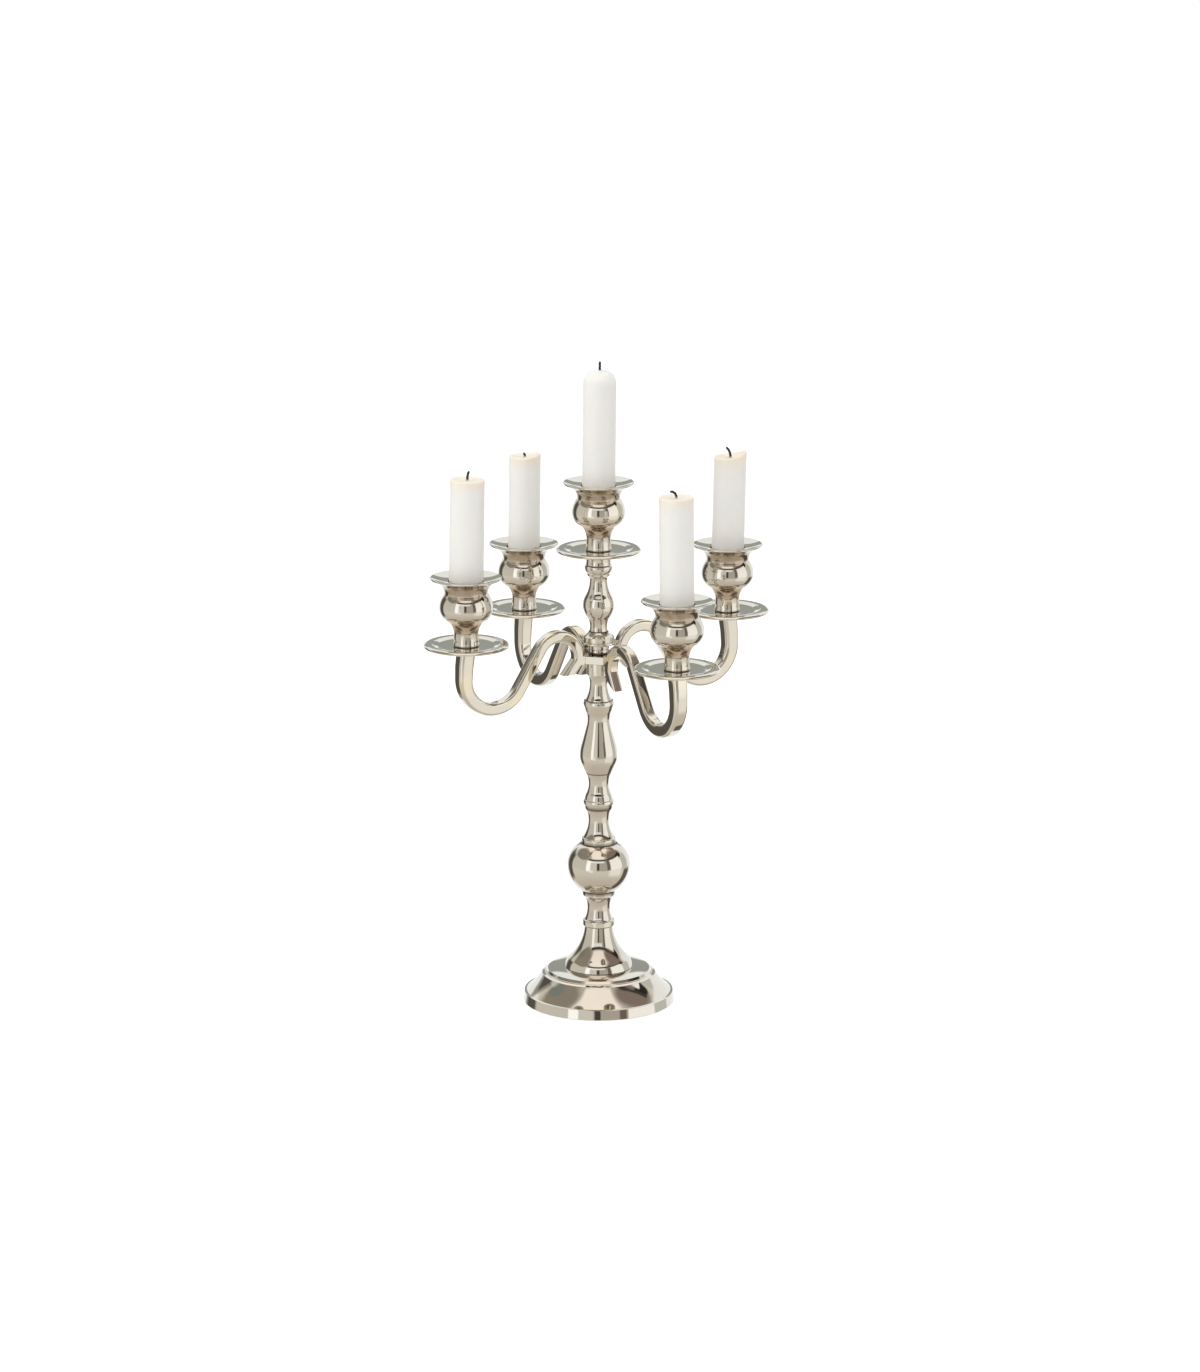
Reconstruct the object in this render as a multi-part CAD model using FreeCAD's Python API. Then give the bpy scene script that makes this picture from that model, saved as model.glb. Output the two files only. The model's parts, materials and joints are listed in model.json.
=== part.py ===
"""Five-light tabletop candelabra: turned stem on a round foot, four S-curved arms and a centre light.

Millimetres, +Z up. The origin is the centre of the foot's underside. The left and right arms lie
along -X and +X, and the front and back arms, one step lower, along -Y and +Y.
"""
import FreeCAD, Part
import os
from math import acos, atan2, cos, degrees, hypot, isclose, pi, radians, sin, tan
from FreeCAD import Vector

# ---- fasteners and clearances ----
rod_radius = 3.0                # tie rod that clamps foot, stem, hub and top baluster
stud_radius = 2.0               # stud that screws each cup down through its pan
thread_gap = 0.05               # radial gap between a thread and its nut or tapped hole
hole_gap = 0.25                 # radial gap where a rod or stud only passes through
edge_break = 0.3                # small bevel on turned edges
washer_radius = 9.0
washer_thickness = 1.6
nut_across_flats = 10.0
nut_thickness = 5.0
rod_stick_out = 2.0             # rod end below the foot nut
rod_reach_in_baluster = 12.0    # thread engaged in the top baluster
stud_reach = 9.0                # stud length engaged on each side of the pan
blind_hole_spare = 1.5          # drilled depth past the end of a rod or stud

# ---- foot and its felt ----
felt_thickness = 1.5
felt_proud = 0.5                # felt stands this far below the metal rim
felt_gap = 0.2
foot_radius = 50.3
foot_height = 23.2              # table to the flat seat under the stem
foot_seat_margin = 0.4          # flat metal left round the flare that stands on the foot
foot_shoulder_height = 21.5     # the top falls gently from the seat to this height
foot_crown = 0.3
foot_band_height = 6.8          # top of the upright rim band
foot_band_draft = 0.8           # the band leans in by this much
foot_ledge = 1.5
foot_rise = 0.2                 # the ledge rises this much to the cove
foot_cove_depth = 1.1
foot_top_radius = 36.5
foot_shoulder_round = 2.4       # the top rolls over into the cove
foot_wall = 2.8
foot_rim_land = 1.7             # metal left outside the felt

# ---- stem, from the foot up ----
flare_height = 28.1
flare_radius = 22.6
flare_rim_height = 0.4
flare_lip_height = 6.1
flare_lip_radius = 20.3
flare_lip_bulge = 0.35
flare_top_radius = 9.4
flare_cove_depth = 2.5
flare_wall = 3.0
flare_crown = 7.0               # solid metal above the flare's hollow

lower_neck_height = 24.3
collar_radius = 10.7
collar_land = 2.4
collar_height = 4.6
collar_foot_radius = 9.6
lower_neck_end_radius = 10.0
lower_neck_cove = 2.2
lower_neck_cove_height = 16.2
lower_ring_radius = 10.8

ball_height = 32.8
ball_radius = 20.95
ball_girth_height = 18.1
ball_bottom_radius = 10.9
ball_top_radius = 11.9

waist_height = 23.8
waist_lip_radius = 11.45
waist_lip_height = 2.7
waist_shoulder_radius = 10.7
waist_shoulder_height = 4.1
waist_radius = 6.8
waist_neck_height = 15.8
waist_top_radius = 8.9

ring_height = 24.7
ring_bottom_radius = 8.95
ring_start_height = 2.8
ring_start_radius = 9.7
ring_bead = 0.55
ring_bead_height = 3.4
ring_step = 0.3
ring_shoulder_radius = 8.6
ring_shoulder_height = 9.8
ring_shoulder_bulge = 0.15
ring_neck_radius = 6.72
ring_neck_height = 16.5
ring_top_radius = 8.75

baluster_height = 49.3
baluster_bottom_radius = 8.85
baluster_hip_radius = 11.6
baluster_hip_height = 6.1
baluster_radius = 12.65
baluster_girth_height = 11.4
baluster_shoulder_radius = 11.2
baluster_shoulder_height = 20.1
baluster_taper_radius = 8.3
baluster_taper_height = 30.7
baluster_neck_radius = 7.45
baluster_neck_height = 36.0
baluster_flare_radius = 8.9
baluster_flare_height = 42.1
baluster_bead_radius = 9.85
baluster_bead_height = 45.4
baluster_bead = 0.55
baluster_top_radius = 9.5

upper_neck_height = 26.0
upper_neck_bottom_radius = 8.9
upper_neck_radius = 5.9
upper_neck_level = 11.0
upper_neck_cup_radius = 7.4
upper_neck_cup_height = 16.8
hub_seat_radius = 7.9
hub_seat_height = 8.9

# ---- hub and cap ----
hub_thickness = 5.5
hub_face = 12.3                 # centre to each facet that an arm is brazed to
hub_facet_width = 7.3

cap_height = 15.1
cap_ring_radius = 6.4
cap_ring_height = 3.1
cap_drum_radius = 6.9
cap_plate_level = 6.9
cap_plate_radius = 11.9
cap_plate_thickness = 1.6
cap_step_radius = 10.2
cap_step_height = 3.2
cap_top_radius = 6.4
cap_cove = 0.35

# ---- baluster over the hub ----
top_height = 51.7
top_foot_radius = 6.1
top_foot_height = 3.0
top_lower_neck_radius = 5.7
top_pear_start_radius = 7.2
top_pear_start_height = 9.0
top_pear_radius = 10.35
top_pear_height = 17.5
top_pear_shoulder_radius = 8.9
top_pear_shoulder_height = 23.4
top_neck_radius = 5.8
top_neck_height = 34.2
top_cup_radius = 7.5
top_cup_height = 37.6
top_ring_height = 1.4
top_bead_radius = 9.2
top_bead_height = 43.0
top_bead_end_radius = 8.3
top_bead_end_height = 44.9
top_bead_end_bulge = 0.25
top_seat_radius = 8.8
top_seat_cove = 0.45

# ---- arms ----
arm_reach = 99.3                # centre line to each outer light
arm_seat_over_hub = 14.5        # pan seat of the left and right arms above the hub's top
arm_stagger = 7.2               # front and back arms sit this much lower
bar_top = 11.0                  # side of the square bar at the pan seat
bar_trough = 8.4
bar_tail = 7.2
bar_corner_share = 0.26         # corner radius as a share of the bar's side
riser_radius = 100.0            # gentle outward bow of the upright end
trough_radius = 22.0
trough_centre_drop = 20.0       # trough centre below the pan seat
crest_radius = 15.5
crest_centre_drop = 14.9
tail_radius = 5.5
# name: (tail's angle off the vertical, drop of its level end below the pan seat)
tails = {
    "left": (40.0, 26.0),
    "right": (40.0, 26.0),
    "front": (29.0, 27.6),
    "back": (40.0, 26.0),
}
ground_tails = {"front": 33.0}  # tails whose inner corner is ground off, at this slope
tail_tip_flat = 1.0             # level end left outside the ground slope
braze_gap = 0.2                 # clearance filled by the pad between tail and hub
arc_step = 15.0                 # degrees between sections where the bar bends
riser_overrun = 1.3             # the bar is bent this much further than its seat, then cut level

# ---- drip pans ----
pan_radius = 27.94
pan_floor_radius = 19.0
pan_brim_inner_radius = 21.5
pan_brim_outer_radius = 25.0
pan_depth = 1.8
pan_brim_roll = 1.1             # the brim turns down this much at its edge
pan_brim_bulge = 0.45
pan_edge = 0.8
pan_dish_round = 1.2            # rounding where the brim drops to the floor, above and below
pan_boss_radius = 9.2
pan_height = 4.3                # seat to the top of the brim

# ---- candle cups, measured down from the flange's top ----
cup_height = 45.7
cup_flange_radius = 23.3
cup_flange_edge = 1.3
cup_flange_lip = 0.6
cup_flange_dish = 0.4
cup_under_radius = 19.6
cup_under_drop = 2.7
cup_throat_radius = 15.1
cup_throat_drop = 6.5
cup_throat_cove = 0.55
cup_neck_radius = 14.0
cup_neck_drop = 10.9
cup_step_radius = 14.9
cup_step_drop = 12.0
cup_bulb_radius = 17.5
cup_bulb_drop = 20.2
cup_bulb_end_radius = 14.2
cup_bulb_end_drop = 27.6
cup_ogee_radius = 12.0
cup_ogee_drop = 28.8
cup_stem_radius = 8.0
cup_stem_drop = 37.6
cup_foot_radius = 8.6
cup_foot_height = 2.4
cup_foot_bead = 0.3
socket_mouth_radius = 11.5
socket_floor_radius = 10.9
socket_mouth_drop = 2.6
socket_floor_drop = 24.0

# ---- candles and wicks ----
candle_gap = 0.5                # radial clearance between a candle's butt and its socket
butt_swell = 1.0                # height over which the butt grows to the candle's full radius
wick_radius = 0.9
wick_gap = 0.05
candle_floor_gap = 0.05
lean_heading = -30.4            # direction of the candles' lean, degrees from +X
# name: (length above flange, radius, lean in degrees, top style)
candles = {
    "centre": (74.0, 10.9, 0.5, "new"),
    "left": (64.5, 11.3, 1.0, "dished"),
    "right": (59.1, 10.8, 1.2, "walled"),
    "front": (67.6, 11.2, -0.6, "dished"),
    "back": (59.6, 10.7, 0.7, "walled"),
}
shoulder_height = 8.5           # rounded top of the unburnt candle
shoulder_radius = 5.6
shoulder_tip = 0.8              # little cone of wax round the new wick
melt_depth = 1.2                # dish burnt into a used candle
melt_rim = 1.6
rim_round = 0.8
wall_height = {"right": 5.0, "back": 2.4}   # unburnt wall left on one side
wall_crest = 1.2                # width of that wall's top
wall_sag = 0.25                 # height of the wall half way up its slope, as a share of its own
wall_foot = 7.5                 # how far in from its side the wall dies out
# name: (height of the wick over its candle, sideways reach of its tip)
wicks = {
    "centre": (5.6, 0.0),
    "left": (5.2, 1.0),
    "right": (6.0, -3.0),
    "front": (3.2, -4.0),
    "back": (1.8, -1.0),
}

# ---- levels worked out from the sizes above ----
flare_base = foot_height
lower_neck_base = flare_base + flare_height
ball_base = lower_neck_base + lower_neck_height
waist_base = ball_base + ball_height
ring_base = waist_base + waist_height
baluster_base = ring_base + ring_height
upper_neck_base = baluster_base + baluster_height
hub_base = upper_neck_base + upper_neck_height
cap_base = hub_base + hub_thickness
top_base = cap_base + cap_height
centre_seat = top_base + top_height
arm_seat = cap_base + arm_seat_over_hub
foot_seat_radius = flare_radius + foot_seat_margin
foot_ceiling = foot_shoulder_height - foot_wall
rod_bore = rod_radius + hole_gap
stud_bore = stud_radius + hole_gap

# name: (heading in degrees, distance from the centre line, height of the pan seat)
lights = {
    "centre": (0.0, 0.0, centre_seat),
    "left": (180.0, arm_reach, arm_seat),
    "right": (0.0, arm_reach, arm_seat),
    "front": (-90.0, arm_reach, arm_seat - arm_stagger),
    "back": (90.0, arm_reach, arm_seat - arm_stagger),
}

UP = Vector(0, 0, 1)
ORIGIN = Vector(0, 0, 0)
straight_enough = 1e-4          # an arc flatter than this share of its chord is drawn as a line
same_place = 1e-4


class Outline:
    """Half section of a turned piece, drawn edge by edge in the XZ plane from its lower inner corner."""

    def __init__(self, r, z):
        self.first = (r, z)
        self.here = (r, z)
        self.edges = []

    def line(self, r, z):
        self.edges.append(Part.makeLine(Vector(self.here[0], 0, self.here[1]), Vector(r, 0, z)))
        self.here = (r, z)
        return self

    def arc(self, r, z, bulge):
        """Arc whose middle stands bulge to the right of the chord as it is travelled."""
        r0, z0 = self.here
        chord = hypot(r - r0, z - z0)
        if abs(bulge) < straight_enough * chord:
            return self.line(r, z)
        middle = Vector((r + r0) / 2 + bulge * (z - z0) / chord, 0, (z + z0) / 2 - bulge * (r - r0) / chord)
        ends = Vector(r0, 0, z0), Vector(r, 0, z)
        self.edges.append(Part.Arc(ends[0], middle, ends[1]).toShape())
        self.here = (r, z)
        return self

    def _upright_bulge(self, r, z):
        r0, z0 = self.here
        slant = atan2(r - r0, abs(z - z0))
        return hypot(r - r0, z - z0) / 2 * tan(slant / 2)

    def leave_upright(self, r, z):
        """Arc that starts straight up or down, as at a neck or a girth."""
        turn = 1 if z > self.here[1] else -1
        return self.arc(r, z, -turn * self._upright_bulge(r, z))

    def reach_upright(self, r, z):
        """Arc that ends straight up or down, as at a neck or a girth."""
        turn = 1 if z > self.here[1] else -1
        return self.arc(r, z, turn * self._upright_bulge(r, z))

    def solid(self):
        self.line(*self.first)
        face = Part.Face(Part.Wire(self.edges))
        return face.revolve(ORIGIN, UP, 360)


def save(name, shape):
    shape.exportStep("parts/" + name + ".step")
    print(name, "solids", len(shape.Solids), "valid", shape.isValid(), "volume", round(shape.Volume, 1))


def cylinder(radius, low, high, x=0.0):
    return Part.makeCylinder(radius, high - low, Vector(x, 0, low), UP)


def is_level(edge):
    low, high = [vertex.Z for vertex in edge.Vertexes]
    return isclose(low, high, abs_tol=edge_break)


def bevel_ends(shape):
    return shape.makeChamfer(edge_break, [edge for edge in shape.Edges if edge.isClosed()])


def round_ring(shape, radius, height, rounding):
    """Rounds the turned edge that lies at one radius and height."""
    rings = []
    for edge in shape.Edges:
        point = edge.Vertexes[0]
        at_height = isclose(point.Z, height, abs_tol=same_place)
        if at_height and isclose(hypot(point.X, point.Y), radius, abs_tol=same_place):
            rings.append(edge)
    return shape.makeFillet(rounding, rings)


# ---------------------------------------------------------------- foot
def make_foot():
    """Cast dome, hollow below, with a shallow recess for the felt."""
    band_top_radius = foot_radius - foot_band_draft
    cove_radius = band_top_radius - foot_ledge
    cove_base = foot_band_height + foot_rise
    recess_radius = foot_radius - foot_rim_land
    inner_radius = cove_radius - foot_wall
    outline = Outline(rod_bore, foot_ceiling)
    outline.line(foot_top_radius - foot_wall, foot_ceiling)
    outline.line(inner_radius, foot_band_height)
    outline.line(inner_radius, felt_thickness)
    outline.line(recess_radius, felt_thickness)
    outline.line(recess_radius, felt_proud)
    outline.line(foot_radius - edge_break, felt_proud)
    outline.line(foot_radius, felt_proud + edge_break)
    outline.line(band_top_radius, foot_band_height - edge_break)
    outline.line(band_top_radius - edge_break, foot_band_height)
    outline.line(cove_radius, cove_base)
    outline.arc(foot_top_radius, foot_shoulder_height, -foot_cove_depth)
    outline.arc(foot_seat_radius, foot_height, foot_crown)
    outline.line(rod_bore, foot_height)
    return round_ring(outline.solid(), foot_top_radius, foot_shoulder_height, foot_shoulder_round)


def make_felt():
    return cylinder(foot_radius - foot_rim_land - felt_gap, 0, felt_thickness)


def make_washer():
    washer = cylinder(washer_radius, foot_ceiling - washer_thickness, foot_ceiling)
    return washer.cut(cylinder(rod_bore, 0, foot_height))


def nut_top():
    return foot_ceiling - washer_thickness


def make_foot_nut():
    corner = nut_across_flats / 2 / cos(pi / 6)
    points = [Vector(corner * cos(k * pi / 3), corner * sin(k * pi / 3), 0) for k in range(7)]
    blank = Part.Face(Part.makePolygon(points)).extrude(Vector(0, 0, nut_thickness))
    blank.translate(Vector(0, 0, nut_top() - nut_thickness))
    blank = blank.common(bevel_ends(cylinder(corner, nut_top() - nut_thickness, nut_top())))
    return blank.cut(cylinder(rod_radius + thread_gap, 0, foot_height))


def make_tie_rod():
    low = nut_top() - nut_thickness - rod_stick_out
    return bevel_ends(cylinder(rod_radius, low, top_base + rod_reach_in_baluster))


# ---------------------------------------------------------------- stem
def make_stem_flare():
    """Trumpet that stands on the foot, hollow below."""
    z = flare_base
    outline = Outline(rod_bore, z + flare_height - flare_crown)
    outline.line(flare_lip_radius - flare_wall, z + flare_lip_height - flare_wall)
    outline.line(flare_lip_radius - flare_wall, z)
    outline.line(flare_radius, z)
    outline.line(flare_radius, z + flare_rim_height)
    outline.arc(flare_lip_radius, z + flare_lip_height, flare_lip_bulge)
    outline.arc(flare_top_radius, z + flare_height, -flare_cove_depth)
    outline.line(rod_bore, z + flare_height)
    return outline.solid()


def make_stem_lower_neck():
    """Collar over the flare, waisted neck and the ring under the ball."""
    z = lower_neck_base
    land_low = z + (collar_height - collar_land) / 2
    cove_top = z + collar_height + lower_neck_cove_height
    outline = Outline(rod_bore, z)
    outline.line(collar_foot_radius, z)
    outline.arc(collar_radius, land_low, edge_break)
    outline.line(collar_radius, land_low + collar_land)
    outline.arc(collar_foot_radius, z + collar_height, edge_break)
    outline.arc(lower_neck_end_radius, cove_top, -lower_neck_cove)
    outline.line(lower_ring_radius, cove_top + lower_ring_radius - lower_neck_end_radius)
    outline.line(lower_ring_radius, z + lower_neck_height - edge_break)
    outline.line(lower_ring_radius - edge_break, z + lower_neck_height)
    outline.line(rod_bore, z + lower_neck_height)
    return outline.solid()


def make_stem_ball():
    z = ball_base
    outline = Outline(rod_bore, z)
    outline.line(ball_bottom_radius, z)
    outline.reach_upright(ball_radius, z + ball_girth_height)
    outline.leave_upright(ball_top_radius, z + ball_height)
    outline.line(rod_bore, z + ball_height)
    return outline.solid()


def make_stem_waist():
    """Lip that sits on the ball, and the neck above it."""
    z = waist_base
    outline = Outline(rod_bore, z)
    outline.line(waist_lip_radius - edge_break, z)
    outline.line(waist_lip_radius, z + edge_break)
    outline.line(waist_lip_radius, z + waist_lip_height)
    outline.arc(waist_shoulder_radius, z + waist_shoulder_height, edge_break)
    outline.reach_upright(waist_radius, z + waist_neck_height)
    outline.leave_upright(waist_top_radius, z + waist_height - edge_break)
    outline.line(waist_top_radius - edge_break, z + waist_height)
    outline.line(rod_bore, z + waist_height)
    return outline.solid()


def make_stem_ring():
    """Beaded ring and the neck above it."""
    z = ring_base
    bead_top = z + ring_start_height + ring_bead_height
    outline = Outline(rod_bore, z)
    outline.line(ring_bottom_radius - edge_break, z)
    outline.line(ring_bottom_radius, z + edge_break)
    outline.line(ring_start_radius, z + ring_start_height)
    outline.arc(ring_start_radius, bead_top, ring_bead)
    outline.line(ring_start_radius - ring_step, bead_top)
    outline.arc(ring_shoulder_radius, z + ring_shoulder_height, ring_shoulder_bulge)
    outline.reach_upright(ring_neck_radius, z + ring_neck_height)
    outline.leave_upright(ring_top_radius, z + ring_height - edge_break)
    outline.line(ring_top_radius - edge_break, z + ring_height)
    outline.line(rod_bore, z + ring_height)
    return outline.solid()


def make_stem_baluster():
    z = baluster_base
    outline = Outline(rod_bore, z)
    outline.line(baluster_bottom_radius - edge_break, z)
    outline.line(baluster_bottom_radius, z + edge_break)
    outline.line(baluster_hip_radius, z + baluster_hip_height)
    outline.reach_upright(baluster_radius, z + baluster_girth_height)
    outline.leave_upright(baluster_shoulder_radius, z + baluster_shoulder_height)
    outline.line(baluster_taper_radius, z + baluster_taper_height)
    outline.reach_upright(baluster_neck_radius, z + baluster_neck_height)
    outline.leave_upright(baluster_flare_radius, z + baluster_flare_height)
    outline.line(baluster_bead_radius, z + baluster_bead_height)
    outline.arc(baluster_top_radius, z + baluster_height, baluster_bead)
    outline.line(rod_bore, z + baluster_height)
    return outline.solid()


def make_stem_upper_neck():
    """Waisted neck that ends in the round seat under the hub."""
    z = upper_neck_base
    seat_low = z + upper_neck_height - hub_seat_height
    outline = Outline(rod_bore, z)
    outline.line(upper_neck_bottom_radius, z)
    outline.reach_upright(upper_neck_radius, z + upper_neck_level)
    outline.leave_upright(upper_neck_cup_radius, z + upper_neck_cup_height)
    outline.line(hub_seat_radius, seat_low + edge_break)
    outline.line(hub_seat_radius, z + upper_neck_height - edge_break)
    outline.line(hub_seat_radius - edge_break, z + upper_neck_height)
    outline.line(rod_bore, z + upper_neck_height)
    return outline.solid()


# ---------------------------------------------------------------- hub, cap and top baluster
def make_arm_hub():
    """Flat block with a facet for each arm and a broader facet between arms."""
    half = hub_facet_width / 2
    corners = []
    for quarter in range(4):
        turn = FreeCAD.Rotation(UP, 90 * quarter)
        corners.append(turn.multVec(Vector(hub_face, -half, 0)))
        corners.append(turn.multVec(Vector(hub_face, half, 0)))
    block = Part.Face(Part.makePolygon(corners + corners[:1])).extrude(Vector(0, 0, hub_thickness))
    block = block.makeChamfer(edge_break, [edge for edge in block.Edges if is_level(edge)])
    block.translate(Vector(0, 0, hub_base))
    return block.cut(cylinder(rod_bore, 0, top_base))


def make_hub_cap():
    """Stepped cap that presses the hub down: ring, drum, thin plate, step and cove."""
    z = cap_base
    plate_low = z + cap_plate_level
    plate_top = plate_low + cap_plate_thickness
    step_top = plate_top + cap_step_height
    outline = Outline(rod_bore, z)
    outline.line(cap_ring_radius, z)
    outline.arc(cap_ring_radius, z + cap_ring_height, cap_cove)
    outline.line(cap_drum_radius, z + cap_ring_height + edge_break)
    outline.line(cap_drum_radius, plate_low)
    outline.line(cap_plate_radius - edge_break, plate_low)
    outline.arc(cap_plate_radius - edge_break, plate_top, edge_break)
    outline.line(cap_step_radius, plate_top)
    outline.line(cap_step_radius, step_top - edge_break)
    outline.line(cap_step_radius - edge_break, step_top)
    outline.arc(cap_top_radius, z + cap_height, -cap_cove)
    outline.line(rod_bore, z + cap_height)
    return outline.solid()


def make_top_baluster():
    """Pear-shaped baluster that screws onto the tie rod and carries the centre light."""
    z = top_base
    tapped = rod_radius + thread_gap
    blind_top = z + rod_reach_in_baluster + blind_hole_spare
    outline = Outline(tapped, z)
    outline.line(top_foot_radius, z)
    outline.reach_upright(top_lower_neck_radius, z + top_foot_height)
    outline.leave_upright(top_pear_start_radius, z + top_pear_start_height)
    outline.reach_upright(top_pear_radius, z + top_pear_height)
    outline.leave_upright(top_pear_shoulder_radius, z + top_pear_shoulder_height)
    outline.reach_upright(top_neck_radius, z + top_neck_height)
    outline.leave_upright(top_cup_radius, z + top_cup_height)
    outline.line(top_cup_radius, z + top_cup_height + top_ring_height)
    outline.reach_upright(top_bead_radius, z + top_bead_height)
    outline.arc(top_bead_end_radius, z + top_bead_end_height, top_bead_end_bulge)
    outline.arc(top_seat_radius, z + top_height, -top_seat_cove)
    outline.line(0, z + top_height)
    outline.line(0, blind_top)
    outline.line(tapped, blind_top)
    return outline.solid().cut(stud_hole_below(centre_seat))


def stud_hole_below(seat, x=0.0):
    return cylinder(stud_radius + thread_gap, seat - stud_reach - blind_hole_spare, seat, x)


# ---------------------------------------------------------------- arms
def turn_stretch(centre, radius, start, end):
    """Points on an arc as (distance out, height, heading), from angle start to angle end in radians."""
    count = max(2, round(abs(degrees(end - start)) / arc_step))
    onward = pi / 2 if end > start else -pi / 2
    points = []
    for k in range(count + 1):
        t = start + (end - start) * k / count
        points.append((centre[0] + radius * cos(t), centre[1] + radius * sin(t), t + onward))
    return points


def arm_stretches(tail_angle, tail_drop):
    """Centre line from above the pan seat to beyond the tail, one list of points per arc or straight."""
    bow = riser_radius - (riser_radius ** 2 - trough_centre_drop ** 2) ** 0.5
    trough = (arm_reach + bow - trough_radius, -trough_centre_drop)
    crest = (hub_face + braze_gap + bar_tail / 2 + crest_radius, -crest_centre_drop)
    across = (crest[0] - trough[0], crest[1] - trough[1])
    lay = atan2(across[1], across[0]) + acos((trough_radius + crest_radius) / hypot(*across))
    lay = lay % (2 * pi) - 2 * pi
    riser_top = riser_overrun * atan2(trough_centre_drop, riser_radius)
    riser = turn_stretch((trough[0] + trough_radius - riser_radius, trough[1]), riser_radius, riser_top, 0)
    dip = turn_stretch(trough, trough_radius, 0, lay)
    crown = turn_stretch(crest, crest_radius, lay + pi, pi)
    curl_centre = (crest[0] - crest_radius + tail_radius, crest[1])
    curl = turn_stretch(curl_centre, tail_radius, pi, pi + radians(tail_angle))
    x, z, heading = curl[-1]
    run = (z + tail_drop) / cos(radians(tail_angle)) + bar_tail
    end = (x + run * cos(heading), z + run * sin(heading), heading)
    return [riser, dip, [dip[-1], crown[0]], crown, curl, [curl[-1], end]]


def bar_section(x, z, heading, side):
    """Square section with rounded corners, square to the heading."""
    radius = side * bar_corner_share
    out = Vector(sin(heading), 0, -cos(heading))
    over = Vector(0, 1, 0)
    half = side / 2
    flat = half - radius
    near = half - radius * (1 - cos(pi / 4))
    corners = []
    for u, v in ((1, 1), (-1, 1), (-1, -1), (1, -1)):
        ends = [out * (u * half) + over * (v * flat), out * (u * flat) + over * (v * half)]
        start, end = ends if u == v else reversed(ends)
        middle = out * (u * near) + over * (v * near)
        corners.append([Vector(x, 0, z) + point for point in (start, middle, end)])
    edges = []
    for corner, following in zip(corners, corners[1:] + corners[:1]):
        edges.append(Part.Arc(*corner).toShape())
        edges.append(Part.makeLine(corner[2], following[0]))
    return Part.Wire(edges)


def bar_side(run, trough_run, whole_run):
    """Side of the bar after a run from its top: quick taper to the trough, slow taper after it."""
    if run < trough_run:
        return bar_top + (bar_trough - bar_top) * run / trough_run
    return bar_trough + (bar_tail - bar_trough) * (run - trough_run) / (whole_run - trough_run)


def lengths_along(points):
    runs = [0.0]
    for a, b in zip(points, points[1:]):
        runs.append(runs[-1] + hypot(b[0] - a[0], b[1] - a[1]))
    return runs


def make_bar(stretches):
    """The bent square bar, longer than the arm at both ends."""
    whole = [point for stretch in stretches for point in stretch]
    runs = lengths_along(whole)
    trough_run = runs[lowest(whole)]
    pieces = []
    done = 0
    for stretch in stretches:
        sides = [bar_side(run, trough_run, runs[-1]) for run in runs[done:done + len(stretch)]]
        wires = [bar_section(*point, side) for point, side in zip(stretch, sides)]
        pieces.append(Part.makeLoft(wires, True, False))
        done += len(stretch)
    return pieces[0].fuse(pieces[1:])


def ground_corner(tail_straight, tail_drop, slope):
    """What is ground off the inner side of a tail, down to a narrow level tip at its outer side."""
    x, z, heading = tail_straight[0]
    lean = tan(heading + pi / 2)
    tip = x + (z + tail_drop) * lean + bar_tail / 2 * hypot(1, lean) - tail_tip_flat
    corner = Vector(tip - arm_reach, -arm_reach / 2, -tail_drop - arm_reach)
    block = Part.makeBox(arm_reach, arm_reach, arm_reach, corner)
    block.rotate(Vector(tip, 0, -tail_drop), Vector(0, 1, 0), slope)
    return block


def make_arm(name, pad_low, pad_high):
    """One S-shaped arm along +X with its seat at height 0, and the pad that meets the hub."""
    tail_angle, tail_drop = tails[name]
    stretches = arm_stretches(tail_angle, tail_drop)
    size = 2 * arm_reach
    over_seat = Part.makeBox(size, size, size, Vector(arm_reach / 2, -size / 2, 0))
    under_tail = Part.makeBox(arm_reach / 2, size, size, Vector(0, -size / 2, -tail_drop - size))
    arm = make_bar(stretches).cut([over_seat, under_tail])
    if name in ground_tails:
        arm = arm.cut(ground_corner(stretches[-1], tail_drop, ground_tails[name]))
    pad = Part.makeBox(bar_tail / 2 + braze_gap, hub_facet_width, pad_high - pad_low,
                       Vector(hub_face, -hub_facet_width / 2, pad_low))
    return arm.fuse(pad).cut(stud_hole_below(0, arm_reach))


def lowest(points):
    heights = [point[1] for point in points]
    return heights.index(min(heights))


def pad_span(seat):
    """The pad is as high as the hub, whichever height the arm's seat has."""
    return hub_base - seat, cap_base - seat


# ---------------------------------------------------------------- drip pans, cups and studs
pan_floor = pan_height - pan_depth      # the cup stands this far above the pan's seat
flange_level = pan_floor + cup_height   # top of the cup's flange above the pan's seat


def make_drip_pan():
    """Shallow dish with a rolled brim and a boss that rests on the seat at height 0."""
    edge_low = pan_height - pan_brim_roll - pan_edge
    edge_bulge = pan_edge * (1 - cos(pi / 4))
    outline = Outline(stud_bore, 0)
    outline.line(pan_boss_radius, 0)
    outline.line(pan_radius - pan_edge, edge_low)
    outline.arc(pan_radius, edge_low + pan_edge, edge_bulge)
    outline.arc(pan_brim_outer_radius, pan_height, pan_brim_bulge)
    outline.line(pan_brim_inner_radius, pan_height)
    outline.line(pan_floor_radius, pan_floor)
    outline.line(stud_bore, pan_floor)
    pan = round_ring(outline.solid(), pan_brim_inner_radius, pan_height, pan_dish_round)
    return round_ring(pan, pan_floor_radius, pan_floor, pan_dish_round)


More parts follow.
